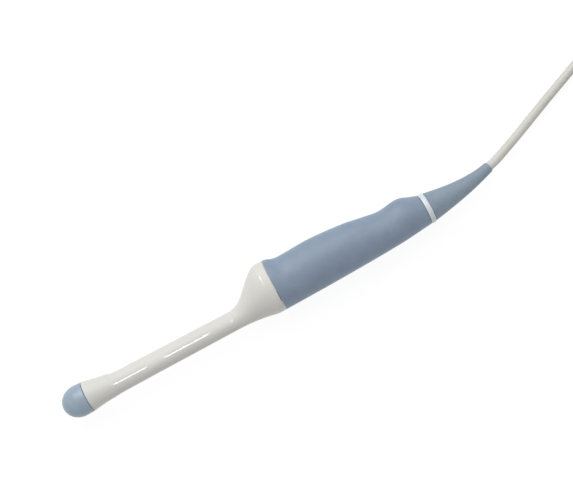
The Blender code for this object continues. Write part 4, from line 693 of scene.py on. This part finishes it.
# %% [markdown]
# The handle is two halves that meet in the plane of symmetry, with a lip on one that laps into the other.
# Its back rises behind the collar, falls to a waist and ends in a ridge for the thumb. The halves stay
# separate pieces, as on the real probe, and their edges are broken slightly, so that the parting line shows
# as a fine groove.

# %% The handle's measures
HANDLE_LENGTH = 118.3 * MM
HANDLE_END = HANDLE_START + HANDLE_LENGTH
LAP_LENGTH, SEAT_GAP, BROKEN_EDGE = 1.2 * MM, 0.3 * MM, 0.15 * MM
END_RADIUS, END_CENTRE = 11.1 * MM, 5.7 * MM
DIP_FROM_COLLAR, DIP_TOP = 11.0 * MM, 25.15 * MM
BACK_FROM_COLLAR, BACK_TOP = 34.0 * MM, 25.9 * MM
WAIST_FROM_END, WAIST_TOP, WAIST_BOTTOM = 29.0 * MM, 20.0 * MM, -8.0 * MM
RIDGE_FROM_END, RIDGE_TOP = 15.5 * MM, 21.5 * MM
BACK_HALF_WIDTH, WAIST_HALF_WIDTH, RIDGE_HALF_WIDTH = 16.6 * MM, 14.3 * MM, 13.7 * MM


def handle_section(x):
    """(bottom, top, half width) of the handle's outside at x."""
    waist, ridge = HANDLE_LENGTH - WAIST_FROM_END, HANDLE_LENGTH - RIDGE_FROM_END
    middle = (BACK_FROM_COLLAR + waist) / 2
    end_top = END_CENTRE + END_RADIUS
    top = [
        (0.0, COLLAR_TOP),
        (0.25 * DIP_FROM_COLLAR, lerp(COLLAR_TOP, DIP_TOP, 0.12)),
        (0.65 * DIP_FROM_COLLAR, lerp(COLLAR_TOP, DIP_TOP, 0.75)),
        (DIP_FROM_COLLAR, DIP_TOP),
        (BACK_FROM_COLLAR, BACK_TOP),
        (middle, lerp(BACK_TOP, WAIST_TOP, 0.3)),
        (lerp(middle, waist, 0.55), lerp(BACK_TOP, WAIST_TOP, 0.72)),
        (waist, WAIST_TOP),
        (ridge, RIDGE_TOP),
        (lerp(ridge, HANDLE_LENGTH, 0.25), lerp(RIDGE_TOP, end_top, 0.1)),
        (lerp(ridge, HANDLE_LENGTH, 0.6), lerp(RIDGE_TOP, end_top, 0.55)),
        (HANDLE_LENGTH, end_top),
    ]
    bottom = [
        (0.0, COLLAR_BOTTOM),
        (BACK_FROM_COLLAR, lerp(COLLAR_BOTTOM, WAIST_BOTTOM, 0.25)),
        (waist, WAIST_BOTTOM),
        (HANDLE_LENGTH, END_CENTRE - END_RADIUS),
    ]
    half_width = [
        (0.0, COLLAR_HALF_WIDTH),
        (DIP_FROM_COLLAR, BACK_HALF_WIDTH - 0.3 * MM),
        (BACK_FROM_COLLAR, BACK_HALF_WIDTH),
        (waist, WAIST_HALF_WIDTH),
        (ridge, RIDGE_HALF_WIDTH),
        (HANDLE_LENGTH, END_RADIUS),
    ]
    return tuple(smooth_curve(curve, x - HANDLE_START) for curve in (bottom, top, half_width))


# %% The two grip halves
OUTER_STEPS, INNER_STEPS = 44, 20


def half_outline(x, side, tongue, inset=0.0):
    """One grip half's outline at x: its outer wall, the lap joint at each split, and its inner wall."""
    section = handle_section(x)
    bottom, top = section[:2]
    split = SEAM_GAP / 2
    step = WALL / 2 + (split if tongue else -split)
    lap = -LAP_LENGTH if tongue else LAP_LENGTH + SEAT_GAP
    outline = [(top - inset - BROKEN_EDGE, split)]
    for i in range(1, OUTER_STEPS):
        point = oval_point(x, section, math.pi * (0.5 - i / OUTER_STEPS), inset)
        outline.append((point.y, max(point.z, split + BROKEN_EDGE)))
    outline += [(bottom + inset + BROKEN_EDGE, split), (bottom + step, split)]
    outline += [(bottom + step, lap), (bottom + WALL, lap)]
    for i in range(1, INNER_STEPS):
        point = oval_point(x, section, math.pi * (i / INNER_STEPS - 0.5), WALL)
        outline.append((point.y, max(point.z, lap + 0.1 * MM)))
    outline += [(top - WALL, lap), (top - step, lap), (top - step, split)]
    return [Vector((x, y, side * z)) for y, z in outline]


def grip_half(side, tongue):
    start, end = HANDLE_START + SEAM_GAP / 2, HANDLE_END - SEAM_GAP / 2
    legs = ((start + 14 * MM, 0.8 * MM), (HANDLE_END - 31 * MM, 2 * MM), (end - EDGE, 0.9 * MM))
    places = [(start + along, inset) for along, inset in edge_roll(3)]
    places += [(x, 0.0) for x in strung(start + EDGE, *legs)]
    places += [(end - along, inset) for along, inset in edge_roll(3)[::-1]]
    return skin([half_outline(x, side, tongue, inset) for x, inset in places])


probe_piece("grip_left", grip_half(1, True), "handle_blue_grey", "handle_shell_left")
probe_piece("grip_right", grip_half(-1, False), "handle_blue_grey", "handle_shell_right")

# %% [markdown]
# The pale ring closes the handle, and the boot behind it keeps the cable from kinking there. The boot starts
# almost as thick as the handle and thins out to the cable, and on this probe it also bends. It is a tube
# along a bent path, with a radius that falls quickly at first and slowly at the end.

# %% The end ring
RING_LENGTH, RING_WALL, RING_CROWN, RING_SPIGOT = 4.0 * MM, 3.8 * MM, 0.25 * MM, 5.0 * MM
BOOT_START = HANDLE_END + RING_LENGTH
ring_start, ring_end = HANDLE_END + SEAM_GAP / 2, BOOT_START - SEAM_GAP / 2
spigot_end = HANDLE_END - RING_SPIGOT
ring_bore, ring_spigot = END_RADIUS - RING_WALL, END_RADIUS - WALL - SEAT_GAP
rim, low, lower = (END_RADIUS - inset * MM for inset in (0.05, 0.13, 0.3))
shares = [i / 10 for i in range(1, 10)]
crown = [(lerp(ring_start, ring_end, s), rim + RING_CROWN * math.sin(math.pi * s)) for s in shares]
profile = [(ring_start, ring_spigot), (ring_start, lower), (ring_start + 0.08 * MM, low), *crown]
profile += [(ring_end - 0.08 * MM, low), (ring_end, lower), (ring_end, ring_bore)]
profile += [(spigot_end, ring_bore), (spigot_end, ring_spigot)]
ring_shape = turned(profile, (END_CENTRE, 0), segments=96, closed=True)
probe_piece("handle_ring", ring_shape, "ring_white", "end_ring")

# %% The boot
BOOT_LENGTH = 50.7 * MM
BOOT_START_RADIUS, BOOT_END_RADIUS = 10.7 * MM, 3.95 * MM
BOOT_TAPER_POWER, BOOT_BEND_POWER = 1.35, 2.6
BOOT_SIDE_BEND, BOOT_DROOP = 5.25 * MM, 3.0 * MM
FLANGE_LENGTH, FLANGE_LIP = 2.1 * MM, 1.4 * MM
CABLE_DIAMETER = 6.5 * MM
BORE_RADIUS = CABLE_DIAMETER / 2 + SEAT_GAP
LIP_RADIUS = lerp(BORE_RADIUS, BOOT_END_RADIUS, 0.25)


def boot_path(share):
    bend = max(share, 0.0) ** BOOT_BEND_POWER
    return Vector((BOOT_START + share * BOOT_LENGTH, END_CENTRE + BOOT_SIDE_BEND * bend, -BOOT_DROOP * bend))


def boot_radius(share):
    return lerp(BOOT_END_RADIUS, BOOT_START_RADIUS, (1 - share) ** BOOT_TAPER_POWER)


def boot_skin(steps, centre, ahead, outside, bore):
    """A boot's closed skin: (x, radius) steps on a straight axis, its bent outside, and back by its bore."""
    rings = [round_ring(Vector((x, *centre)), radius, Vector(ahead)) for x, radius in steps] + outside
    back = tube_rings(bore, [BORE_RADIUS] * len(bore))
    return skin(rings + [ring[:1] + ring[:0:-1] for ring in back], closed=True)


boot_face = BOOT_START + SEAM_GAP / 2
neck = END_RADIUS - RING_WALL - SEAT_GAP
flange_end = HANDLE_END - RING_SPIGOT - SEAT_GAP
flange_start = flange_end - FLANGE_LENGTH
steps = [(flange_start, neck + FLANGE_LIP), (flange_end, neck + FLANGE_LIP), (flange_end, neck)]
steps += [(boot_face, neck), (boot_face, BOOT_START_RADIUS - EDGE)]
steps += [(boot_face + 0.3 * EDGE, BOOT_START_RADIUS - 0.3 * EDGE)]
shares = [0.012] + [i / 60 for i in range(1, 60)] + [0.993]
outside = tube_rings([boot_path(s) for s in shares], [boot_radius(s) for s in shares])
outside += tube_rings([boot_path(0.997), boot_path(1.0)], [boot_radius(1.0) - 0.1 * MM, LIP_RADIUS])
bore = [boot_path(i / 20) for i in range(20, -1, -1)] + [Vector((flange_start, END_CENTRE, 0))]
boot_shape = boot_skin(steps, (END_CENTRE, 0), (1, 0, 0), outside, bore)
probe_piece("cable_boot", boot_shape, "boot_blue_grey", "strain_relief")

# %% [markdown]
# The picture shows only the cable's first few centimetres. The rest of its 1.8 metres is put away as a user
# would do it: wound into a long hank just outside the picture, with a strap round it and the connector
# beyond it. The hank is one line that goes round four times and a half. Each turn changes to its next place
# on the near side, once the turn above it has moved out of the way.

# %% The cable's route
BOOT_END = ON_TABLE @ boot_path(1.0)
HANK_PLACE = Vector((BOOT_END.x + 117.1 * MM, BOOT_END.y + 13.0 * MM, 0))
CONNECTOR_PLACE = HANK_PLACE + Vector((272.0, 1.2, 0)) * MM
HANK_RUN, HANK_PITCH, HANK_LIFT, INNER_LANE = 108.0 * MM, 6.7 * MM, 1.2 * MM, 20.3 * MM
HANK_TURNS = [((1, 0), (0, 0)), ((0, 0), (0, 1)), ((0, 1), (1, 1)), ((1, 1), (1, 2))]
LEAD_ROUTE = [
    (13.0, 4.0, 9.1), (29.5, 10.4, 6.6), (45.0, 16.8, 4.8), (62.0, 23.9, 3.7),
    (78.0, 30.4, 3.4), (93.6, 36.7, 4.2), (104.6, 39.4, 4.5),
]
TAIL_ROUTE = [
    (109.4, 27.0, 18.5), (121.0, 26.4, 18.5), (131.0, 23.7, 17.7), (140.0, 19.6, 15.8),
    (150.0, 13.8, 13.2), (159.5, 8.2, 11.5), (168.5, 3.8, 11.2), (176.6, 1.6, 12.3),
]
CABLE_AXIS_HEIGHT, ROUTE_STEP, SIDE_STEPS = 23.0 * MM, 3 * MM, 18
CONNECTOR_LENGTH, CONNECTOR_BOOT_LENGTH, CONNECTOR_BOOT_DROOP = 100.0 * MM, 32.0 * MM, 6.0 * MM


def connector_boot_path(share):
    x = -CONNECTOR_LENGTH / 2 - share * CONNECTOR_BOOT_LENGTH
    return Vector((x, 0, CABLE_AXIS_HEIGHT - CONNECTOR_BOOT_DROOP * max(share, 0.0) ** 2))


# A turn starts to change its place on the near run, each turn earlier than the one below it. An upper turn
# also sags by one layer in the near fold, where the place below it is free. The last three of its numbers
# are shares of the fold.
CHANGE_START, CHANGE_EARLIER, CHANGE_SPAN = 0.66, 0.16, 0.5
SAG_START, SAG_FALL, SAG_RISE, SAG_END = 0.95, 0.4, 0.47, 0.92
NEAR_END = 0.98


def hank_point(turn, side, share):
    """A place on one of a turn's four sides: the far run, the far fold, the near run and the near fold."""
    fold = math.pi * (INNER_LANE + HANK_PITCH) / HANK_RUN
    walked = (-1, -1, share, 1 + share * fold)[side]
    moved = ease((walked - CHANGE_START + CHANGE_EARLIER * turn) / CHANGE_SPAN)
    (lane, layer), (next_lane, next_layer) = HANK_TURNS[turn]
    radius = INNER_LANE + HANK_PITCH * lerp(lane, next_lane, moved)
    height = lerp(layer, next_layer, moved)
    if turn > 1:
        falling = ease((walked - SAG_START) / (1 - SAG_START + SAG_FALL * fold))
        height -= falling * ease((1 + SAG_END * fold - walked) / (SAG_RISE * fold))
    height = HANK_LIFT + HANK_PITCH * (height + 0.5)
    if side in (0, 2):
        along = HANK_RUN * (share if side == 0 else 1 - share)
        return Vector((along, radius if side == 0 else -radius, height))
    angle = (math.pi / 2 if side == 1 else -math.pi / 2) - math.pi * share
    return Vector((HANK_RUN * (side == 1) + radius * math.cos(angle), radius * math.sin(angle), height))


def through(points):
    """Points about a route step apart on a smooth curve through the given ones."""
    ends = [points[0] * 2 - points[1]] + points + [points[-1] * 2 - points[-2]]
    route = []
    for p0, p1, p2, p3 in zip(ends, ends[1:], ends[2:], ends[3:]):
        count = max(round((p2 - p1).length / ROUTE_STEP), 1)
        for t in (i / count for i in range(count)):
            bent = (p2 - p0) * t + (2 * p0 - 5 * p1 + 4 * p2 - p3) * t**2 + (3 * p1 - p0 - 3 * p2 + p3) * t**3
            route.append(0.5 * (2 * p1 + bent))
    return route + [points[-1]]


turns = [(turn, side, k / SIDE_STEPS) for turn in range(4) for side in range(4) for k in range(SIDE_STEPS)]
hank = [HANK_PLACE + hank_point(*where) for where in turns]
lane, top = INNER_LANE + HANK_PITCH, HANK_LIFT + 2.5 * HANK_PITCH
hank += [HANK_PLACE + Vector((HANK_RUN * k / SIDE_STEPS, lane, top)) for k in range(SIDE_STEPS - 1)]

boot_floor = Vector((BOOT_END.x, BOOT_END.y, 0))
heading = (BOOT_END - ON_TABLE @ boot_path(NEAR_END)).normalized()
lead = [ON_TABLE @ boot_path(share) for share in (0.86, 0.93)]
lead += [BOOT_END, BOOT_END + heading * CABLE_DIAMETER]
lead += [boot_floor + Vector(offset) * MM for offset in LEAD_ROUTE]
tail_end = CONNECTOR_PLACE + connector_boot_path(1.0)
heading = (tail_end - CONNECTOR_PLACE - connector_boot_path(NEAR_END)).normalized()
tail = [HANK_PLACE + Vector(offset) * MM for offset in TAIL_ROUTE]
tail += [tail_end + heading * CABLE_DIAMETER, tail_end]
tail += [CONNECTOR_PLACE + connector_boot_path(share) for share in (0.9, 0.8)]
route = through(lead + [hank[0]])[:-1] + hank + through([hank[-1]] + tail)[1:]
print("cable", round(sum((b - a).length for a, b in zip(route, route[1:])), 3), "m in", len(route), "points")

# %% The cable
curve = bpy.data.curves.new("cable", "CURVE")
curve.dimensions = "3D"
spline = curve.splines.new("POLY")
spline.points.add(len(route) - 1)
for point, place in zip(spline.points, route):
    point.co = (*place, 1.0)
curve.bevel_depth = CABLE_DIAMETER / 2
curve.bevel_resolution = 6
curve.use_fill_caps = True
curve.materials.append(FINISH["cable_jacket"])
spline.use_smooth = True
cable = add_object("cable", curve)
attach(cable, "probe")
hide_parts("cable_lead", "cable_hank", "cable_tail")

# %% [markdown]
# A hook-and-loop strap holds the hank. It is a thin ribbon that goes once round the turns and overlaps
# itself on top, and its weave follows its length, so the ribbon gets coordinates of its own for the weave.

# %% The strap
STRAP_WIDTH, STRAP_THICKNESS, STRAP_GAP, STRAP_BEND = 16.0 * MM, 0.8 * MM, 0.3 * MM, 3.4 * MM
STRAP_PLACE = HANK_PLACE + Vector((0.88 * HANK_RUN, 0, 0))
STRAP_OFF = STRAP_GAP + STRAP_THICKNESS / 2
near_y, far_y = HANK_PITCH / 2 - INNER_LANE + STRAP_OFF, -INNER_LANE - 1.5 * HANK_PITCH - STRAP_OFF
low, high = HANK_LIFT - STRAP_OFF, HANK_LIFT + 2 * HANK_PITCH + STRAP_OFF


def ribbon(path, width, thickness):
    """A ribbon along a path in the plane of y and z, and how far along it each ring lies."""
    rings, walked, total = [], [], 0.0
    for i, here in enumerate(path):
        ahead = (path[min(i + 1, len(path) - 1)] - path[max(i - 1, 0)]).normalized()
        out = Vector((0, -ahead.z, ahead.y)) * (thickness / 2)
        total += (here - path[i - 1]).length if i else 0.0
        walked.append(total)
        side = Vector((width / 2, 0, 0))
        rim = Vector((width / 2 - thickness * 0.3, 0, 0))
        offsets = (side, rim + out, out - rim, -side, -rim - out, rim - out)
        rings.append([here + offset for offset in offsets])
    return skin(rings), walked


middle = (near_y + far_y) / 2
raised = high + STRAP_THICKNESS + 0.1 * MM
corners = [(middle - 2 * MM, high), (far_y, high), (far_y, low), (near_y, low), (near_y, high)]
corners += [(middle + 1.5 * MM, high), (middle - 2.5 * MM, raised), (far_y + 1.5 * MM, raised - 0.3 * MM)]
strap_path = softened([Vector((0, y, z)) for y, z in corners], STRAP_BEND, steps=8, closed=False)
shape, walked = ribbon(strap_path, STRAP_WIDTH, STRAP_THICKNESS)
strap_mesh = build_mesh("hank_strap", shape, Matrix.Translation(STRAP_PLACE))
layer = strap_mesh.uv_layers.new(name="along")
for loop in strap_mesh.loops:
    place = strap_mesh.vertices[loop.vertex_index].co - STRAP_PLACE
    nearest = min(range(len(strap_path)), key=lambda k: (strap_path[k].yz - place.yz).length)
    layer.data[loop.index].uv = (walked[nearest], place.x)
strap = add_piece("hank_strap", strap_mesh, "strap_fabric", ["hank_tie"], sharp=60)

# %% [markdown]
# The connector is a pod of two shells with a metal plug frame below it. Nearly all of its outlines are
# rounded rectangles, and a skin between them gives the wall, the fillet, the sunk panel and the inside in
# one go. The long sides have shallow ribs, where fingers pull the plug out of its socket.

# %% The connector's measures and outlines
POD = (CONNECTOR_LENGTH, 58.0 * MM, 9.0 * MM)
PANEL = (84.0 * MM, 42.0 * MM, 6.0 * MM)
PLUG = (62.0 * MM, 38.0 * MM, 5.0 * MM)
POD_WALL, POD_FILLET, COVER_HEIGHT = 2.5 * MM, 3.5 * MM, 17.0 * MM
RIM_EDGE, PANEL_DEPTH, PAD_RADIUS = 0.2 * MM, 0.5 * MM, 17.0 * MM
BELL_RADIUS, NECK_RADIUS, NECK_FLANGE_RADIUS, NECK_FLANGE_DEPTH = 8.0 * MM, 6.0 * MM, 7.4 * MM, 2.0 * MM
PLUG_DEPTH, PLUG_WALL, PLUG_FLANGE, PLUG_FLANGE_HEIGHT = 9.0 * MM, 1.6 * MM, 2.5 * MM, 1.2 * MM
PLUG_EDGE, PLUG_BORE_EDGE = 0.4 * MM, 0.3 * MM
INSERT_RECESS, INSERT_TOP = 3.0 * MM, 12.0 * MM
LOCK_SHAFT_RADIUS = 5.0 * MM
SCREW_INSET, SCREW_HOLE, SCREW_HEAD, BOSS_RADIUS = 7.5 * MM, 1.6 * MM, 2.9 * MM, 4.0 * MM
SCREW_HEAD_SEAT, SCREW_HOLE_TOP = 11.1 * MM, 30.4 * MM
RIB_PITCH, RIB_DEPTH, RIB_REACH, RIB_START, RIB_FADE = 3.6 * MM, 0.8 * MM, 16.2 * MM, 1.6 * MM, 1.4 * MM
CORNER_STEPS, SIDE_HALF = 10, 36
AT_CONNECTOR = Matrix.Translation(CONNECTOR_PLACE)


def rounded_rectangle(length, width, corner, z, ribs=0.0):
    """An outline with round corners and close points along its long sides, which may be ribbed."""
    points = []
    for quarter, (x, y) in enumerate(((1, 1), (-1, 1), (-1, -1), (1, -1))):
        for k in range(CORNER_STEPS + 1):
            angle = math.pi / 2 * (quarter + k / CORNER_STEPS)
            x_here = x * (length / 2 - corner) + corner * math.cos(angle)
            points.append(Vector((x_here, y * (width / 2 - corner) + corner * math.sin(angle), z)))
        if quarter in (0, 2):
            for place in (RIB_REACH * (k / SIDE_HALF - 1) for k in range(2 * SIDE_HALF + 1)):
                sunk = ribs * (0.5 - 0.5 * math.cos(math.tau * (place + RIB_REACH) / RIB_PITCH))
                points.append(Vector((-y * place, y * (width / 2 - sunk), z)))
    return points


def level_ring(angles, radius, z, x=0.0, y=0.0):
    """A circle at the height z."""
    return [Vector((x + radius * math.cos(a), y + radius * math.sin(a), z)) for a in angles]


def round_hole(radius, z):
    """A circle with as many points as a rounded rectangle."""
    count = 4 * (CORNER_STEPS + 1) + 2 * (2 * SIDE_HALF + 1)
    return level_ring(around(count, 0.5), radius, z)


def shrunk(size, by):
    """A rounded rectangle's size with its outline moved inwards, or outwards by a negative amount."""
    length, width, corner = size
    return length - 2 * by, width - 2 * by, corner - by


def levels(size, *heights):
    return [rounded_rectangle(*size, z) for z in heights]


def pod_outside(z_rim, z_face):
    """Rings from a shell's rim to its filleted face, with the ribs fading out at both ends."""
    towards = math.copysign(1, z_face - z_rim)
    straight = abs(z_face - z_rim) - POD_FILLET
    rings = levels(shrunk(POD, RIM_EDGE), z_rim)
    for up in [RIM_EDGE] + strung(RIB_START, (straight, 0.7 * MM)):
        fade = ease((up - RIB_START) / RIB_FADE) * ease((straight - 1.2 * MM - up) / RIB_FADE)
        rings.append(rounded_rectangle(*POD, z_rim + towards * up, RIB_DEPTH * fade))
    for angle in quarter_turn(8)[1:]:
        size = shrunk(POD, POD_FILLET * (1 - math.cos(angle)))
        rings += levels(size, z_face - towards * POD_FILLET * (1 - math.sin(angle)))
    return rings


def upright(profile, x=0.0, y=0.0, segments=32):
    """A (height, radius) profile spun about an upright axis."""
    return skin([level_ring(around(segments), radius, z, x, y) for z, radius in profile])


# %% A helper for the connector's pieces
plug_pieces = []


def carved(mesh, joined, taken):
    """A mesh with closed shapes joined to it and others taken out of it."""
    piece = add_object(mesh.name, mesh)
    tools = []
    for operation, shapes in (("UNION", joined), ("DIFFERENCE", taken)):
        for shape in shapes:
            tools.append(add_object("tool", build_mesh("tool", shape, AT_CONNECTOR)))
            change = piece.modifiers.new(operation.lower(), "BOOLEAN")
            change.operation, change.solver, change.object = operation, "EXACT", tools[-1]
    graph = bpy.context.evaluated_depsgraph_get()
    result = bpy.data.meshes.new_from_object(piece.evaluated_get(graph))
    for helper in [piece] + tools:
        bpy.data.objects.remove(helper)
    return result


def connector_piece(name, shape, slot, nodes=(), body="probe", joined=(), taken=()):
    mesh = build_mesh(name, shape, AT_CONNECTOR)
    if joined or taken:
        mesh = carved(mesh, joined, taken)
    plug_pieces.append(add_piece(name, mesh, slot, nodes, body))


# %% The connector's shells
split = CABLE_AXIS_HEIGHT
pod_top, pod_floor = split + COVER_HEIGHT, PLUG_DEPTH
roof, floor = pod_top - POD_WALL, pod_floor + POD_WALL
cover_rim, base_rim = split + SEAM_GAP / 2, split - SEAM_GAP / 2
panel_floor = pod_top - PANEL_DEPTH
shaft_hole = LOCK_SHAFT_RADIUS + SEAT_GAP
neck_ends = (-POD[0] / 2 - MM, -POD[0] / 2 + POD_WALL + MM)
neck_hole = turned([(x, NECK_RADIUS + SEAT_GAP) for x in neck_ends], (0, split))
corner_places = [(x * (POD[0] / 2 - SCREW_INSET), y * (POD[1] / 2 - SCREW_INSET))
                 for x, y in ((1, 1), (1, -1), (-1, -1), (-1, 1))]


def pod_shell(name, stands_for, rings, boss, hole):
    """A shell of the pod, with a boss and a screw's hole in each corner and the hole for the boot's neck."""
    bosses, holes = ([upright(profile, *place) for place in corner_places] for profile in (boss, hole))
    shape = skin(rings, closed=True)
    connector_piece(name, shape, "housing_white", [stands_for], joined=bosses, taken=[neck_hole] + holes)


rings = pod_outside(cover_rim, pod_top) + levels(PANEL, pod_top)
rings += levels(shrunk(PANEL, PANEL_DEPTH), panel_floor)
rings += [round_hole(PAD_RADIUS + PANEL_DEPTH, panel_floor), round_hole(PAD_RADIUS, pod_top)]
rings += [round_hole(shaft_hole, z) for z in (pod_top, roof)] + levels(shrunk(POD, POD_WALL), roof, cover_rim)
boss = [(cover_rim, BOSS_RADIUS), (roof + MM, BOSS_RADIUS)]
hole = [(cover_rim - MM, SCREW_HOLE), (SCREW_HOLE_TOP, SCREW_HOLE)]
pod_shell("pod_cover", "connector_cover", rings, boss, hole)

rings = pod_outside(base_rim, pod_floor) + levels(shrunk(PLUG, -SEAT_GAP), pod_floor, floor)
rings += levels(shrunk(POD, POD_WALL), floor, base_rim)
boss = [(floor - 0.3 * MM, BOSS_RADIUS), (base_rim, BOSS_RADIUS)]
hole = [(pod_floor - MM, SCREW_HEAD), (SCREW_HEAD_SEAT, SCREW_HEAD), (SCREW_HEAD_SEAT, SCREW_HOLE)]
pod_shell("pod_base", "connector_base", rings, boss, hole + [(base_rim + MM, SCREW_HOLE)])

# %% The connector's boot
pod_side = -POD[0] / 2
inner, outer = pod_side + POD_WALL + SEAT_GAP, pod_side - SEAT_GAP
steps = [(inner + NECK_FLANGE_DEPTH, NECK_FLANGE_RADIUS), (inner, NECK_FLANGE_RADIUS)]
steps += [(inner, NECK_RADIUS), (outer, NECK_RADIUS)]
steps += [(outer, BELL_RADIUS - 0.3 * MM), (outer - 0.3 * MM, BELL_RADIUS)]
shares = [k / 36 for k in range(2, 36)] + [0.992]
radii = [lerp(BOOT_END_RADIUS, BELL_RADIUS, (1 - share) ** 1.2) for share in shares] + [LIP_RADIUS]
outside = tube_rings([connector_boot_path(share) for share in shares + [1.0]], radii)
bore = [connector_boot_path(k / 16) for k in range(16, -1, -1)]
bore += [Vector((inner + NECK_FLANGE_DEPTH, 0, split))]
boot_shape = boot_skin(steps, (0, split), (-1, 0, 0), outside, bore)
connector_piece("pod_boot", boot_shape, "boot_blue_grey", ["connector_boot"])

# %% [markdown]
# The knob on top locks the plug in its socket: a disc with a rounded bar to grip, and a pale mark let into
# the bar that shows which way the lock is turned. It turns with its shaft, so these pieces ride on the lock.

# %% The lock's knob and its mark
BAR = (46 * MM, 12 * MM, 6 * MM)
DISC = [(0.0, 14.2), (0.25, 14.65), (0.8, 15.0), (3.0, 15.0), (3.5, 14.9), (4.1, 14.4), (4.5, 13.5)]
BAR_LEVELS = [(0.8, 0.0), (7.6, 0.0), (8.6, 0.15), (9.4, 0.45)]
BAR_LEVELS += [(10.1, 0.95), (10.6, 1.6), (10.9, 2.3), (11.0, 3.0)]
knob_floor = pod_top + SEAT_GAP
slot_floor = knob_floor + 10.5 * MM


def inlay(height):
    """The mark's shape, from the floor of its slot upwards."""
    outline = softened([(8, -0.9, 0), (16.6, -0.9, 0), (16.6, 0.9, 0), (8, 0.9, 0)], 0.5)
    ends = (slot_floor, slot_floor + height)
    return skin([[Vector((p.x * MM, p.y * MM, z)) for p in outline] for z in ends])


disc = upright([(knob_floor + z * MM, r * MM) for z, r in DISC], segments=72)
socket = upright([(knob_floor - MM, shaft_hole), (knob_floor + 4 * MM, shaft_hole)], segments=48)
bar = [rounded_rectangle(*shrunk(BAR, s * MM), knob_floor + z * MM) for z, s in BAR_LEVELS]
bar += [rounded_rectangle(40 * MM, 5.9 * MM, 2.9 * MM, knob_floor + 11 * MM)]
taken = [socket, inlay(MM)]
connector_piece("knob", skin(bar), "lock_grip", ["lock_knob"], "lock", joined=[disc], taken=taken)
connector_piece("knob_mark", inlay(0.45 * MM), "ring_white", body="lock")

# %% [markdown]
# Below, the plug is a nickel frame round a dark insulator. The insulator carries rows of small brass
# contacts on both sides of the lock's shaft, and four screws in the corners hold the two shells together.

# %% The plug and its contacts
CONTACT_PITCH, CONTACT_WIDE, CONTACT_DEEP, CONTACT_CORNER = 2.54 * MM, 0.65 * MM, 0.95 * MM, 0.25 * MM
CONTACT_ROOT, CONTACT_STAND, CONTACT_CLEARANCE = 0.2 * MM, 0.35 * MM, 2.2 * MM
inside, flange = shrunk(PLUG, PLUG_WALL), shrunk(PLUG, -PLUG_FLANGE)
flange_low, flange_high = floor + SEAT_GAP, floor + SEAT_GAP + PLUG_FLANGE_HEIGHT
rings = levels(inside, PLUG_BORE_EDGE, 0) + levels(shrunk(PLUG, PLUG_EDGE), 0)
rings += levels(PLUG, PLUG_EDGE, flange_low)
rings += levels(flange, flange_low, flange_high) + levels(inside, flange_high)
connector_piece("plug_frame", skin(rings, closed=True), "plug_nickel", ["plug_shell"])

rings = levels(shrunk(inside, SEAT_GAP), INSERT_RECESS, INSERT_TOP)
rings += [round_hole(shaft_hole, z) for z in (INSERT_TOP, INSERT_RECESS)]
connector_piece("plug_insert", skin(rings, closed=True), "insulator_dark", ["contact_insert"])

points, faces = [], []
corners = [(x * CONTACT_WIDE, y * CONTACT_DEEP, 0) for x, y in ((-1, -1), (1, -1), (1, 1), (-1, 1))]
outline = softened(corners, CONTACT_CORNER, steps=1)
contact_levels = (INSERT_RECESS + CONTACT_ROOT, INSERT_RECESS - CONTACT_STAND)
for column in range(-10, 11):
    for row in range(-5, 6):
        place = Vector((column * CONTACT_PITCH, row * CONTACT_PITCH, 0))
        if place.length < shaft_hole + CONTACT_CLEARANCE:
            continue
        contact = skin([[place + p + Vector((0, 0, z)) for p in outline] for z in contact_levels])
        faces += [tuple(len(points) + i for i in face) for face in contact[1]]
        points += contact[0]
connector_piece("plug_contacts", (points, faces), "crimp_brass")

# %% The screws
HEXAGON = math.pi / 3
HEAD_LOW = SCREW_HEAD_SEAT - 2.1 * MM
RECESS_DEPTH, RECESS_RADIUS = 1.0 * MM, 1.35 * MM
SCREW = [(0, 2.1), (0.12, 2.35), (0.35, 2.5), (0.7, 2.6), (1.8, 2.6), (1.8, 1.3), (20.4, 1.3), (20.8, 0.9)]


def screw_ring(place, z, radius, hexagonal=False):
    angles = around(36)
    flat = [math.cos(HEXAGON / 2) / math.cos(a % HEXAGON - HEXAGON / 2) if hexagonal else 1.0 for a in angles]
    reach = [(a, radius * f) for a, f in zip(angles, flat)]
    return [Vector((place[0] + r * math.cos(a), place[1] + r * math.sin(a), z)) for a, r in reach]


for number, place in enumerate(corner_places, 1):
    rings = [screw_ring(place, HEAD_LOW + up, RECESS_RADIUS, True) for up in (RECESS_DEPTH, 0)]
    rings += [screw_ring(place, HEAD_LOW + z * MM, r * MM) for z, r in SCREW]
    connector_piece(f"shell_screw_{number}", skin(rings), "screw_steel", [f"cover_screw_{number}"])

# %% [markdown]
# Some of the model's solids are fine as they are, because they are plain or nobody sees them until the probe
# is opened. They keep their shape and only take a finish, which the model's record names for each of them.

# %% Finishes for the solids that stay as they are
for part in frame["record"]["subparts"]:
    solid = frame["nodes"][part["node"]]
    solid.data.materials.clear()
    solid.data.materials.append(FINISH[part["material_slot"]])
print("finished", len(frame["nodes"]), "solids")

# %% The connector's pieces, gathered in one list
starts = ("connector_", "lock_", "cable_connector")
plug_pieces += [o for n, o in frame["nodes"].items() if n.startswith(starts) and not o.hide_render]
